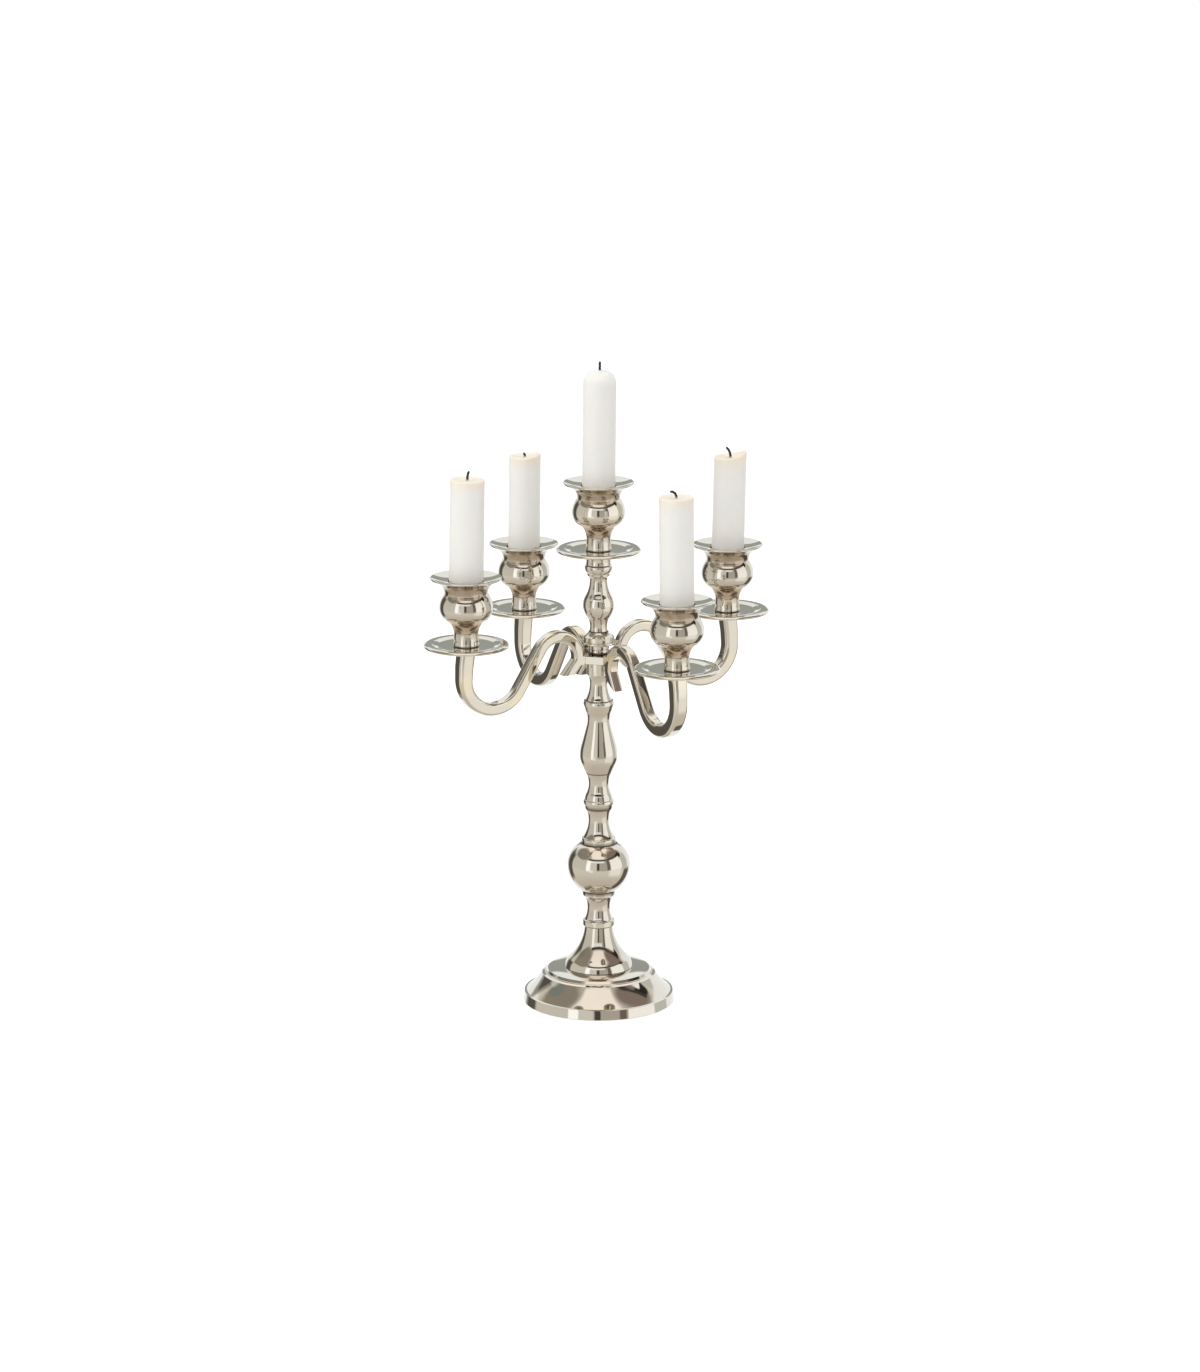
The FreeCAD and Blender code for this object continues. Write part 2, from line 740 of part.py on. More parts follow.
def draw_cup_stem(outline):
    """Foot ring, stem and ogee, up to the ledge under the bulb."""
    outline.line(cup_foot_radius - cup_foot_bead, pan_floor)
    outline.arc(cup_foot_radius - cup_foot_bead, pan_floor + cup_foot_height, cup_foot_bead)
    outline.reach_upright(cup_stem_radius, flange_level - cup_stem_drop)
    outline.leave_upright(cup_ogee_radius, flange_level - cup_ogee_drop)


def draw_cup_bowl(outline):
    """Bulb, throat and flange, up to the flange's rim."""
    lip_radius = cup_flange_radius - cup_flange_lip
    outline.line(cup_bulb_end_radius, flange_level - cup_bulb_end_drop)
    outline.reach_upright(cup_bulb_radius, flange_level - cup_bulb_drop)
    outline.leave_upright(cup_step_radius, flange_level - cup_step_drop)
    outline.line(cup_neck_radius, flange_level - cup_neck_drop)
    outline.leave_upright(cup_throat_radius, flange_level - cup_throat_drop)
    outline.arc(cup_under_radius, flange_level - cup_under_drop, -cup_throat_cove)
    outline.line(lip_radius, flange_level - cup_flange_edge)
    outline.arc(lip_radius, flange_level, cup_flange_lip)


def draw_cup_socket(outline):
    """Dished flange top, tapered candle socket, and the tapped hole for the stud."""
    blind_top = pan_floor + stud_reach + blind_hole_spare
    mouth = flange_level - socket_mouth_drop
    outline.arc(socket_mouth_radius + edge_break, mouth, -cup_flange_dish)
    outline.line(socket_mouth_radius, mouth - edge_break)
    outline.line(socket_floor_radius, flange_level - socket_floor_drop)
    outline.line(0, flange_level - socket_floor_drop)
    outline.line(0, blind_top)
    outline.line(stud_radius + thread_gap, blind_top)


def make_candle_cup():
    outline = Outline(stud_radius + thread_gap, pan_floor)
    draw_cup_stem(outline)
    draw_cup_bowl(outline)
    draw_cup_socket(outline)
    return outline.solid()


def make_cup_stud():
    return bevel_ends(cylinder(stud_radius, -stud_reach, pan_floor + stud_reach))


# ---------------------------------------------------------------- candles, flange top at height 0
def candle_base(lean):
    """Height of the butt, kept off the socket's floor also where the lean dips its edge."""
    dip = socket_floor_radius * sin(radians(abs(lean)))
    return candle_floor_gap + dip - socket_floor_drop


def draw_candle_side(outline, radius, low, high):
    butt_radius = min(radius, socket_mouth_radius - candle_gap)
    outline.line(socket_floor_radius - candle_gap - edge_break, low)
    outline.line(socket_floor_radius - candle_gap, low + edge_break)
    outline.line(butt_radius, -socket_mouth_drop)
    outline.line(radius, butt_swell - socket_mouth_drop)
    outline.line(radius, high)


def make_new_candle(length, radius, low):
    bore = wick_radius + wick_gap
    outline = Outline(bore, low)
    draw_candle_side(outline, radius, low, length - shoulder_height)
    outline.leave_upright(shoulder_radius, length - shoulder_tip)
    outline.line(bore, length)
    return outline.solid()


def make_used_candle(length, radius, low, wall):
    """Candle burnt to a shallow dish, with any unburnt wall left standing on the +X side."""
    bore = wick_radius + wick_gap
    outline = Outline(bore, low)
    draw_candle_side(outline, radius, low, length + wall - rim_round)
    outline.arc(radius - rim_round, length + wall, rim_round * (1 - cos(pi / 4)))
    outline.line(bore, length + wall)
    candle = outline.solid().cut(melt_pool(radius - melt_rim, length))
    return candle.cut(burnt_side(length, radius, wall)) if wall else candle


def melt_pool(radius, level):
    """Lens-shaped dish below the given level."""
    ball = (radius ** 2 + melt_depth ** 2) / (2 * melt_depth)
    sphere = Part.makeSphere(ball, Vector(0, 0, level - melt_depth + ball))
    return sphere.common(cylinder(radius, level - melt_depth, level))


def burnt_side(length, radius, wall):
    """Wax burnt away above the dish, leaving a wall that rises towards +X."""
    foot = Vector(radius - wall_foot, 0, length)
    crest = Vector(radius - wall_crest, 0, length + wall)
    middle = Vector((foot.x + crest.x) / 2, 0, length + wall_sag * wall)
    beyond = 2 * radius
    over = crest.z + beyond
    edges = [Part.Arc(foot, middle, crest).toShape()]
    corners = [crest, Vector(crest.x, 0, over), Vector(-beyond, 0, over), Vector(-beyond, 0, length), foot]
    for start, end in zip(corners, corners[1:]):
        edges.append(Part.makeLine(start, end))
    burnt = Part.Face(Part.Wire(edges)).extrude(Vector(0, 2 * beyond, 0))
    burnt.translate(Vector(0, -beyond, 0))
    return burnt


def make_candle(name):
    length, radius, lean, top = candles[name]
    if top == "new":
        return make_new_candle(length, radius, candle_base(lean))
    return make_used_candle(length, radius, candle_base(lean), wall_height.get(name, 0.0))


def make_wick(name):
    """Wick through the whole candle, bent over above it."""
    length, _, lean, _ = candles[name]
    height, reach = wicks[name]
    wick = cylinder(wick_radius, candle_base(lean), length)
    if not reach:
        return wick.fuse(cylinder(wick_radius, length, length + height)).removeSplitter()
    bend = (reach ** 2 + height ** 2) / (2 * reach)
    end = Part.Face(Part.Wire(Part.makeCircle(wick_radius, Vector(0, 0, length), UP)))
    curl = end.revolve(Vector(bend, 0, length), Vector(0, 1, 0), degrees(2 * atan2(reach, height)))
    return wick.fuse(curl)


def stand_in_cup(shape, name):
    """Tilt a candle or wick about the middle of its socket and set it in its cup."""
    lean = candles[name][2]
    pivot = -(socket_mouth_drop + socket_floor_drop) / 2
    shape.rotate(Vector(0, 0, pivot), Vector(0, 1, 0), lean)
    shape.rotate(ORIGIN, UP, lean_heading)
    shape.translate(seat_of(name) + Vector(0, 0, flange_level))
    return shape


def seat_of(name):
    heading, distance, height = lights[name]
    return Vector(distance * cos(radians(heading)), distance * sin(radians(heading)), height)


def moved(shape, place):
    shape.translate(place)
    return shape


# ---------------------------------------------------------------- the whole candelabra
def make_foot_group():
    save("foot", make_foot())
    save("felt_pad", make_felt())
    save("foot_washer", make_washer())
    save("foot_nut", make_foot_nut())
    save("tie_rod", make_tie_rod())


def make_stem_group():
    save("stem_flare", make_stem_flare())
    save("stem_lower_neck", make_stem_lower_neck())
    save("stem_ball", make_stem_ball())
    save("stem_waist", make_stem_waist())
    save("stem_ring", make_stem_ring())
    save("stem_baluster", make_stem_baluster())
    save("stem_upper_neck", make_stem_upper_neck())
    save("arm_hub", make_arm_hub())
    save("hub_cap", make_hub_cap())
    save("top_baluster", make_top_baluster())


def make_light(name):
    """Arm, drip pan, cup, stud, candle and wick of one light; the centre light has no arm."""
    heading, distance, seat = lights[name]
    if distance:
        arm = make_arm(name, *pad_span(seat))
        arm.rotate(ORIGIN, UP, heading)
        save("arm_" + name, moved(arm, Vector(0, 0, seat)))
    save("drip_pan_" + name, moved(make_drip_pan(), seat_of(name)))
    save("candle_cup_" + name, moved(make_candle_cup(), seat_of(name)))
    save("cup_stud_" + name, moved(make_cup_stud(), seat_of(name)))
    save("candle_" + name, stand_in_cup(make_candle(name), name))
    save("wick_" + name, stand_in_cup(make_wick(name), name))


os.makedirs("parts", exist_ok=True)
make_foot_group()
make_stem_group()
for light in lights:
    make_light(light)
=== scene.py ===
# %% [markdown]
# # A five-light candelabra, dressed for its picture
#
# The construction comes packed as a fixed frame: every solid at its real size, standing where it
# belongs. Here each piece gets the surface that a buyer sees: turned, bent and polished nickel, wax,
# braided wicks and felt. Blender works in metres and the workshop sizes below are millimetres, so one
# factor, mm, turns one into the other.

# %% Load the frame
import json
from math import acos, atan, atan2, cos, degrees, hypot, pi, radians, sin, tan
import bpy
import numpy as np
from mathutils import Matrix, Vector, noise


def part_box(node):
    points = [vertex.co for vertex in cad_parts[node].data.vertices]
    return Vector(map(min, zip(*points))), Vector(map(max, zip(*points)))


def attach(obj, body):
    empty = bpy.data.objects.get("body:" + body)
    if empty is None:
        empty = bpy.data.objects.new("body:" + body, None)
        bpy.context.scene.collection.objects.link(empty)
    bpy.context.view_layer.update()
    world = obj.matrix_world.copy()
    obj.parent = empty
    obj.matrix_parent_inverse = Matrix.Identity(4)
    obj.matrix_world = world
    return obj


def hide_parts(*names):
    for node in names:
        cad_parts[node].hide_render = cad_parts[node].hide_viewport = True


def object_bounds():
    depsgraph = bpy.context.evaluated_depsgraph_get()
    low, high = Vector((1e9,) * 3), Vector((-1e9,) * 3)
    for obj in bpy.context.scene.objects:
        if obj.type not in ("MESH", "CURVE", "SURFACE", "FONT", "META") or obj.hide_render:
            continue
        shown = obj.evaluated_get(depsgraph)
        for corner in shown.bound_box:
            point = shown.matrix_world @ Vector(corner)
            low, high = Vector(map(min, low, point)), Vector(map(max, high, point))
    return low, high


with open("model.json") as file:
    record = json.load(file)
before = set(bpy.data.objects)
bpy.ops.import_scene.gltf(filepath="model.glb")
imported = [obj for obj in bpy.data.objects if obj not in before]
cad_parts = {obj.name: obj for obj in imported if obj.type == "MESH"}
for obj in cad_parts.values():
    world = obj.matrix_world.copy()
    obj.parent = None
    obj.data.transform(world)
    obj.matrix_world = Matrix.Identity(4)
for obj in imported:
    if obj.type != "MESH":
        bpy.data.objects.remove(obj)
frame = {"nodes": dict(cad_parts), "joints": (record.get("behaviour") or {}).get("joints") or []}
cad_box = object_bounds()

mm = 0.001

# %% [markdown]
# ## Where the lights stand
#
# Every light is a drip pan, a cup, a candle and a wick, one over the other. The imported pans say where
# the lights are, so no seat is typed in by hand: the middle of a pan's box is the light's upright
# line, and its lowest point is the seat that carries the pan.

# %% Seats of the five lights
light_names = ("centre", "left", "right", "front", "back")
arm_names = light_names[1:]


def underside(node):
    """Middle of a node's underside."""
    low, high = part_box(node)
    return Vector(((low.x + high.x) / 2, (low.y + high.y) / 2, low.z))


seats = {name: underside("drip_pan_" + name) for name in light_names}
for name, seat in seats.items():
    print(name, "seat", [round(value / mm, 1) for value in seat])

# %% [markdown]
# ## Working alone on one piece
#
# An operator acts on everything that is selected, and the loaded frame is selected as a whole. So
# each job starts by clearing the selection and taking up one piece. A finished piece keeps its place
# in its mesh, with the object itself unmoved at the origin.

# %% Selection, modifiers and the closing step of every piece
def alone(piece):
    bpy.ops.object.select_all(action="DESELECT")
    piece.select_set(True)
    bpy.context.view_layer.objects.active = piece


def clear_selection():
    bpy.ops.object.select_all(action="DESELECT")
    bpy.context.view_layer.objects.active = None


def fresh(name, add, **settings):
    """Adds a primitive, lamp or camera as a new piece, with nothing else selected."""
    clear_selection()
    add(**settings)
    piece = bpy.context.object
    piece.name = name
    return piece


def edit(select="VERT", everything=True):
    """Goes into edit mode with one kind of element picked, all of it or none."""
    bpy.ops.object.mode_set(mode="EDIT")
    bpy.ops.mesh.select_mode(type=select)
    bpy.ops.mesh.select_all(action="SELECT" if everything else "DESELECT")


def leave_edit():
    bpy.ops.object.mode_set(mode="OBJECT")


def outwards():
    """Makes every face of the piece point out."""
    bpy.ops.mesh.select_all(action="SELECT")
    bpy.ops.mesh.normals_make_consistent(inside=False)


def settle(piece):
    """Moves the object's own place, turn and size into its mesh."""
    alone(piece)
    bpy.ops.object.transform_apply(location=True, rotation=True, scale=True)


def modify(piece, kind, **settings):
    """Adds one modifier, sets it and applies it."""
    alone(piece)
    modifier = piece.modifiers.new(kind.title(), kind)
    for name, value in settings.items():
        setattr(modifier, name, value)
    bpy.ops.object.modifier_apply(modifier=modifier.name)


def join_shape(piece, tool, operation):
    """Adds a second shape to the piece or cuts it away, and drops the second shape."""
    modify(piece, "BOOLEAN", operation=operation, solver="EXACT", object=tool)
    bpy.data.objects.remove(tool)


def tell(piece):
    size = piece.dimensions / mm
    print(f"{piece.name}: {len(piece.data.polygons)} faces, {size.x:.1f} x {size.y:.1f} x {size.z:.1f} mm")


# %% [markdown]
# ## The turner's template
#
# Foot, stem, pans and cups are turned, so each is one half outline spun round its middle. A turner
# cuts that outline in card as a few straight and round stretches. The class below draws it the same
# way: a straight run, an arc with a given bulge, or an arc that leaves or reaches a neck or a girth
# straight up. Arcs are divided finely, because polished metal shows every facet.

# %% Template of a turned piece
arc_step = radians(4)
fewest_steps = 5
straight_enough = 1e-4


class Template:
    """Half outline in millimetres, as radius and height over the piece's own underside."""

    def __init__(self, radius, height):
        self.points = [(radius, height)]

    def line(self, radius, height):
        self.points.append((radius, height))
        return self

    def arc(self, radius, height, bulge):
        """The middle stands bulge to the right of the straight way, as the outline is travelled."""
        r0, z0 = self.points[-1]
        chord = hypot(radius - r0, height - z0)
        if abs(bulge) < straight_enough * chord:
            return self.line(radius, height)
        half_turn = 2 * atan(2 * bulge / chord)
        bend = chord / (2 * sin(half_turn))
        ahead = Vector((radius - r0, height - z0)) / chord
        right = Vector((ahead.y, -ahead.x))
        steps = max(fewest_steps, round(2 * abs(half_turn) / arc_step))
        for k in range(1, steps + 1):
            angle = half_turn * (2 * k / steps - 1)
            forward = chord / 2 + bend * sin(angle)
            aside = bend * (cos(angle) - cos(half_turn))
            point = Vector((r0, z0)) + forward * ahead + aside * right
            self.points.append(tuple(point))
        return self

    def upright_bulge(self, radius, height):
        r0, z0 = self.points[-1]
        slant = atan2(radius - r0, abs(height - z0))
        turn = 1 if height > z0 else -1
        return turn * hypot(radius - r0, height - z0) / 2 * tan(slant / 2)

    def leave_upright(self, radius, height):
        return self.arc(radius, height, -self.upright_bulge(radius, height))

    def reach_upright(self, radius, height):
        return self.arc(radius, height, self.upright_bulge(radius, height))

    def close(self):
        return self.line(*self.points[0])

    def roll_corner(self, radius, height, rounding):
        """Rolls the corner at one place over with the given radius."""
        place = Vector((radius, height))
        k = min(range(len(self.points)), key=lambda j: (Vector(self.points[j]) - place).length)
        before, corner, after = [Vector(point) for point in self.points[k - 1:k + 2]]
        back, onward = (before - corner).normalized(), (after - corner).normalized()
        half = back.angle(onward) / 2
        centre = corner + (back + onward).normalized() * rounding / sin(half)
        start = corner + back * rounding / tan(half) - centre
        end = corner + onward * rounding / tan(half) - centre
        steps = max(fewest_steps, round((pi - 2 * half) / arc_step))
        rolled = [tuple(centre + start.slerp(end, j / steps)) for j in range(steps + 1)]
        self.points[k:k + 1] = rolled
        return self


# %% [markdown]
# ## Spinning a template
#
# By hand this is a single vertex, extruded point by point along the template and then spun a full
# turn. The last ring of the spin lies on the first, so the doubles are merged and the faces are made
# to point outwards. Real edges are never knife sharp after the buffing wheel: a small bevel rounds
# them, and weighted normals keep the broad surfaces true beside it.

# %% Spin, marks on vertices and edge rounding
turn_steps = 144
merge_gap = 2e-6
buffed_edge = 0.28 * mm
sharp_angle = radians(24)


def spin_outline(name, template, place):
    start, *others = [place + Vector((radius * mm, 0, height * mm)) for radius, height in template.points]
    piece = fresh(name, bpy.ops.mesh.primitive_plane_add, size=mm, location=start)
    edit()
    bpy.ops.mesh.merge(type="CENTER")
    for here, there in zip([start] + others, others):
        bpy.ops.mesh.extrude_vertices_move(TRANSFORM_OT_translate={"value": there - here})
    bpy.ops.mesh.select_all(action="SELECT")
    bpy.ops.mesh.spin(steps=turn_steps, angle=2 * pi, center=(place.x, place.y, 0), axis=(0, 0, 1))
    bpy.ops.mesh.select_all(action="SELECT")
    bpy.ops.mesh.remove_doubles(threshold=merge_gap)
    outwards()
    leave_edit()
    settle(piece)
    return piece


def write_marks(piece, name, values):
    """Gives each vertex a number that a finish can read."""
    marks = piece.data.attributes.new(name, "FLOAT", "POINT")
    marks.data.foreach_set("value", [float(value) for value in values])


def round_edges(piece, width=buffed_edge):
    modify(piece, "BEVEL", width=width, segments=3, limit_method="ANGLE", angle_limit=sharp_angle)
    bpy.ops.object.shade_smooth()
    modify(piece, "WEIGHTED_NORMAL", mode="FACE_AREA", weight=60)


# %% [markdown]
# The buffing wheel never reaches the bottom of a neck or a groove, and such places stay a little
# darker and browner. Each turned piece gets a number per vertex, called hollow: how far it lies
# inside the widest radius nearby. Level tops are easy to wipe and don't count as hollow.

# %% How deep each vertex lies in a hollow
hollow_reach = 8 * mm
hollow_depth = 7 * mm


def mark_hollows(piece, place):
    count = len(piece.data.vertices)
    spots = np.empty(count * 3)
    piece.data.vertices.foreach_get("co", spots)
    spots = spots.reshape(-1, 3) - np.array(place)
    radii = np.hypot(spots[:, 0], spots[:, 1])
    levels = np.round(spots[:, 2] / (mm / 4)).astype(int)
    widest = {level: radii[levels == level].max() for level in np.unique(levels)}
    around = {level: max(radius for other, radius in widest.items()
                         if abs(other - level) * mm / 4 < hollow_reach) for level in widest}
    depth = np.array([around[level] for level in levels]) - radii
    facing_up = np.array([max(0.0, vertex.normal.z) for vertex in piece.data.vertices])
    write_marks(piece, "hollow", np.clip(depth / hollow_depth, 0, 1) * (1 - facing_up ** 2))


# %% [markdown]
# Where one piece sits on the next, polish and dust collect in the joint, and the narrow groove lies in
# shade; both are painted in as dark brown. The rounded edge there gets a second mark, called seam.
# Under the cups it reaches a little higher.

# %% Mark the joints
seam_reach = 0.2 * mm


def mark_seams(piece, low_end=True, high_end=True, reach=seam_reach):
    heights = [vertex.co.z for vertex in piece.data.vertices]
    low, high = min(heights), max(heights)
    write_marks(piece, "seam", [(low_end and height - low < reach) or (high_end and high - height < reach)
                                for height in heights])


def turned(name, template, place, low_end=True, high_end=True, reach=seam_reach):
    """A finished turned piece that stands at a place."""
    piece = spin_outline(name, template, place)
    round_edges(piece)
    mark_hollows(piece, place)
    mark_seams(piece, low_end, high_end, reach)
    tell(piece)
    return piece


# %% [markdown]
# ## Shader maths as plain expressions
#
# A finish is a net of small nodes. Written out one by one they bury the idea, so a thin wrapper lets
# sums be typed as sums: each operator below adds its own Math node and wires it up. Every other node
# comes from one method that takes its kind, its settings and its sockets.

# %% Signals and finishes
class Signal:
    """One output of a node."""

    def __init__(self, finish, socket):
        self.finish = finish
        self.socket = socket

    def maths(self, operation, first, second):
        return self.finish.add("Math", {"operation": operation}, {0: first, 1: second})

    def __add__(self, other):
        return self.maths("ADD", self, other)

    def __sub__(self, other):
        return self.maths("SUBTRACT", self, other)

    def __rsub__(self, other):
        return self.maths("SUBTRACT", other, self)

    def __mul__(self, other):
        return self.maths("MULTIPLY", self, other)

    __radd__ = __add__
    __rmul__ = __mul__


class Finish:
    """A node tree, cleared and ready to be wired."""

    def __init__(self, owner):
        self.owner = owner
        owner.use_nodes = True
        self.tree = owner.node_tree
        self.tree.nodes.clear()

    def add(self, kind, settings=(), sockets=(), output=0):
        node = self.tree.nodes.new("ShaderNode" + kind)
        for name, value in dict(settings).items():
            setattr(node, name, value)
        for name, value in dict(sockets).items():
            if isinstance(value, Signal):
                self.tree.links.new(value.socket, node.inputs[name])
            else:
                node.inputs[name].default_value = value
        return Signal(self, node.outputs[output]) if node.outputs else None

    def mix(self, first, second, share):
        """Blend of two colours."""
        settings = {"data_type": "RGBA", "clamp_factor": True}
        return self.add("Mix", settings, {0: share, 6: first, 7: second}, 2)

    def ease(self, value, low, high, start=0.0, end=1.0):
        """Smooth step from start to end while value goes from low to high."""
        sockets = {"Value": value, "From Min": low, "From Max": high, "To Min": start, "To Max": end}
        return self.add("MapRange", {"interpolation_type": "SMOOTHSTEP"}, sockets)

    def clouds(self, vector, size, detail=2.0, roughness=0.5):
        """Soft irregular patches about so many metres across."""
        sockets = {"Vector": vector, "Scale": 1 / size, "Detail": detail, "Roughness": roughness}
        return self.add("TexNoise", {}, sockets)

    def spot(self):
        """Place on the piece, in metres."""
        return self.add("TexCoord", output="Object")

    def mark(self, name):
        """The number that a vertex carries."""
        return self.add("Attribute", {"attribute_name": name}, output="Fac")

    def bump(self, height, strength=1.0, distance=1.0):
        return self.add("Bump", {}, {"Strength": strength, "Distance": distance, "Height": height})

    def surface(self, sockets):
        """Closes a material and hands it over."""
        shader = self.add("BsdfPrincipled", {}, sockets)
        self.add("OutputMaterial", {}, {"Surface": shader})
        return self.owner


def colour(red, green, blue):
    return (red, green, blue, 1.0)


print("shader tools ready")

# %% [markdown]
# ## Polished nickel
#
# The metal is cast, turned, hand buffed and nickel plated. Plating is a warm, slightly yellow mirror.
# A few faults make it look real: a slow waviness left by the buffing wheel, which bends reflections a
# little; a fine haze that varies from patch to patch; a brown breath of tarnish in the hollows; dirt
# and painted shade in the joints. The five finishes differ in how much of each they have: pans are spun
# flat and hardly waver, cups are tarnished most, and the arms have no lathe rings but more golden patches.

# %% The nickel finishes
plate = colour(0.735, 0.700, 0.630)
tarnish = colour(0.43, 0.345, 0.26)
golden = colour(0.92, 0.80, 0.53)
# joint colour: dirt in the joint together with painted shade of the narrow groove between pieces
joint_dirt_and_shade = colour(0.17, 0.14, 0.115)
wave_size = 14 * mm
wave_height = 0.030 * mm
ripple_size = 3.5 * mm
ripple_height = 0.0040 * mm
lathe_pitch = 0.55 * mm
lathe_height = 0.00007 * mm
haze_size = 5 * mm
patch_size = 22 * mm


def nickel(name, gold_share, lathe_share, wave_share=1.0, tarnish_share=1.0):
    finish = Finish(bpy.data.materials.new(name))
    spot = finish.spot()
    hollow = finish.mark("hollow")
    seam = finish.mark("seam")
    patches = finish.clouds(spot, patch_size)
    haze = finish.clouds(spot, haze_size, 4.0, 0.6)
    streaks = finish.ease(patches, 0.50, 0.68) * gold_share
    tone = finish.mix(plate, golden, streaks)
    breath = hollow * (0.12 + 0.40 * haze) * tarnish_share
    tone = finish.mix(tone, tarnish, breath)
    # painted shade and dirt: the seam mark turns each joint dark brown
    tone = finish.mix(tone, joint_dirt_and_shade, seam)
    roughness = 0.014 + 0.04 * finish.ease(haze, 0.35, 0.75) + 0.06 * hollow
    height = finish.clouds(spot, wave_size, 0.0) * (wave_height * wave_share)
    height = height + finish.clouds(spot, ripple_size, 1.0) * (ripple_height * wave_share)
    if lathe_share:
        level = finish.add("SeparateXYZ", {}, {"Vector": spot}, "Z")
        rings = finish.add("Math", {"operation": "SINE"}, {0: level * (2 * pi / lathe_pitch)})
        height = height + rings * (lathe_height * lathe_share)
    bump = finish.bump(height)
    sockets = {"Metallic": 1.0, "Base Color": tone, "Roughness": roughness, "Normal": bump}
    return finish.surface(sockets)


turned_nickel = nickel("turned_nickel", 0.15, 1.0)
foot_nickel = nickel("foot_nickel", 0.10, 1.0, 1.0, 0.3)
pan_nickel = nickel("pan_nickel", 0.10, 1.0, 0.15)
cup_nickel = nickel("cup_nickel", 0.15, 1.0, 1.0, 2.6)
bar_nickel = nickel("bar_nickel", 0.42, 0.0, 0.6)
print("nickel finishes", turned_nickel.name, bar_nickel.name)

# %% [markdown]
# ## Plated steel inside
#
# The rod, nut, washer and studs never show once the candelabra stands together, but a finish costs
# little and a buyer may take it apart. Their construction shape is already right, so they keep their
# own meshes and only get the dull blue-white of zinc plate with a fine drawn grain along the axis.

# %% Zinc plate on the hidden steel
def zinc_plate():
    finish = Finish(bpy.data.materials.new("zinc_plate"))
    spot = finish.spot()
    stretched = finish.add("Mapping", {}, {"Vector": spot, "Scale": (1.0, 1.0, 0.15)})
    grain = finish.clouds(stretched, 0.6 * mm, 3.0, 0.7)
    bloom = finish.clouds(spot, 4 * mm)
    tone = finish.mix(colour(0.60, 0.61, 0.62), colour(0.46, 0.47, 0.49), bloom)
    bump = finish.bump(grain, 0.6, 0.02 * mm)
    sockets = {"Metallic": 1.0, "Base Color": tone, "Roughness": 0.30 + 0.18 * grain, "Normal": bump}
    return finish.surface(sockets)


def put_finish(piece, material):
    piece.data.materials.clear()
    piece.data.materials.append(material)


zinc = zinc_plate()
steel_nodes = ["foot_washer", "foot_nut", "tie_rod"] + ["cup_stud_" + name for name in light_names]
for node in steel_nodes:
    put_finish(frame["nodes"][node], zinc)
print(len(steel_nodes), "steel pieces plated")


# %% [markdown]
# ## Handing a piece over
#
# Each new piece takes its finish and rides on its body, and the construction node it covers is hidden.

# %% Dress one node
def dress(piece, node, material, body="root"):
    put_finish(piece, material)
    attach(piece, body)
    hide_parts(node)


def turn_metal(node, template, low_end=True, high_end=True, finish=turned_nickel):
    piece = turned(node + "_polished", template, underside(node), low_end, high_end)
    dress(piece, node, finish)


# %% [markdown]
# ## The foot
#
# A cast dome with an upright rim band, a ledge, a hollow cove and a gently crowned top, on which
# the stem's flare stands. It is hollow below, with a shallow recess for the felt.

# %% Turn the foot
rod_bore = 3.25


def foot_template():
    outline = Template(rod_bore, 18.2).line(33.7, 18.2).line(45.2, 6.3).line(45.2, 1.0)
    outline.line(48.6, 1.0).line(48.6, 0.0).line(50.3, 0.0)
    outline.line(49.5, 6.3).line(48.0, 6.5)
    outline.arc(36.5, 21.0, -1.1).arc(23.0, 22.7, 0.3)
    return outline.line(rod_bore, 22.7).close().roll_corner(36.5, 21.0, 2.4)


turn_metal("foot", foot_template(), False, False, foot_nickel)

# %% [markdown]
# ## The felt under the foot
#
# A disc of pressed wool is glued into the recess, so the metal never touches the table. Its edge is
# soft and its face is a little uneven. A circle is filled, extruded to its thickness and given rings
# by insetting, then the upper face is moved by a low noise; the underside stays flat on the table.

# %% Cut the felt
felt_uneven = 0.12 * mm


def nudge(piece, rule):
    """Moves each vertex as by a sculptor's hand, to where the rule says."""
    for vertex in piece.data.vertices:
        vertex.co = rule(vertex.co.copy())
    piece.data.update()


def felt_disc(name):
    low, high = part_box("felt_pad")
    piece = fresh(name, bpy.ops.mesh.primitive_circle_add, vertices=96, radius=high.x, fill_type="NGON",
                  location=(0, 0, low.z))
    edit("FACE")
    bpy.ops.mesh.extrude_region_move(TRANSFORM_OT_translate={"value": (0, 0, high.z - low.z)})
    for ring in range(6):
        bpy.ops.mesh.inset(thickness=high.x / 8)
    outwards()
    leave_edit()
    settle(piece)
    thickness = high.z - low.z

    def pressed(spot):
        lift = (spot.z - low.z) / thickness
        dent = felt_uneven * (0.5 + 0.5 * noise.noise(spot / (9 * mm)))
        return spot - Vector((0, 0, dent * lift))

    nudge(piece, pressed)
    modify(piece, "BEVEL", width=0.25 * mm, segments=3, limit_method="ANGLE", angle_limit=radians(50))
    bpy.ops.object.shade_smooth_by_angle(angle=radians(40))
    return piece


def wool_felt():
    finish = Finish(bpy.data.materials.new("wool_felt"))
    spot = finish.spot()
    fibres = finish.clouds(spot, 0.5 * mm, 6.0, 0.75)
    patches = finish.clouds(spot, 8 * mm)
    tone = finish.mix(colour(0.035, 0.050, 0.042), colour(0.085, 0.115, 0.095), fibres)
    tone = finish.mix(tone, colour(0.055, 0.075, 0.062), patches * 0.6)
    bump = finish.bump(fibres, 0.8, 0.15 * mm)
    sockets = {"Base Color": tone, "Roughness": 0.95, "Normal": bump,
               "Sheen Weight": 0.35, "Sheen Roughness": 0.5}
    return finish.surface(sockets)


felt = felt_disc("felt_under_foot")
dress(felt, "felt_pad", wool_felt())
tell(felt)

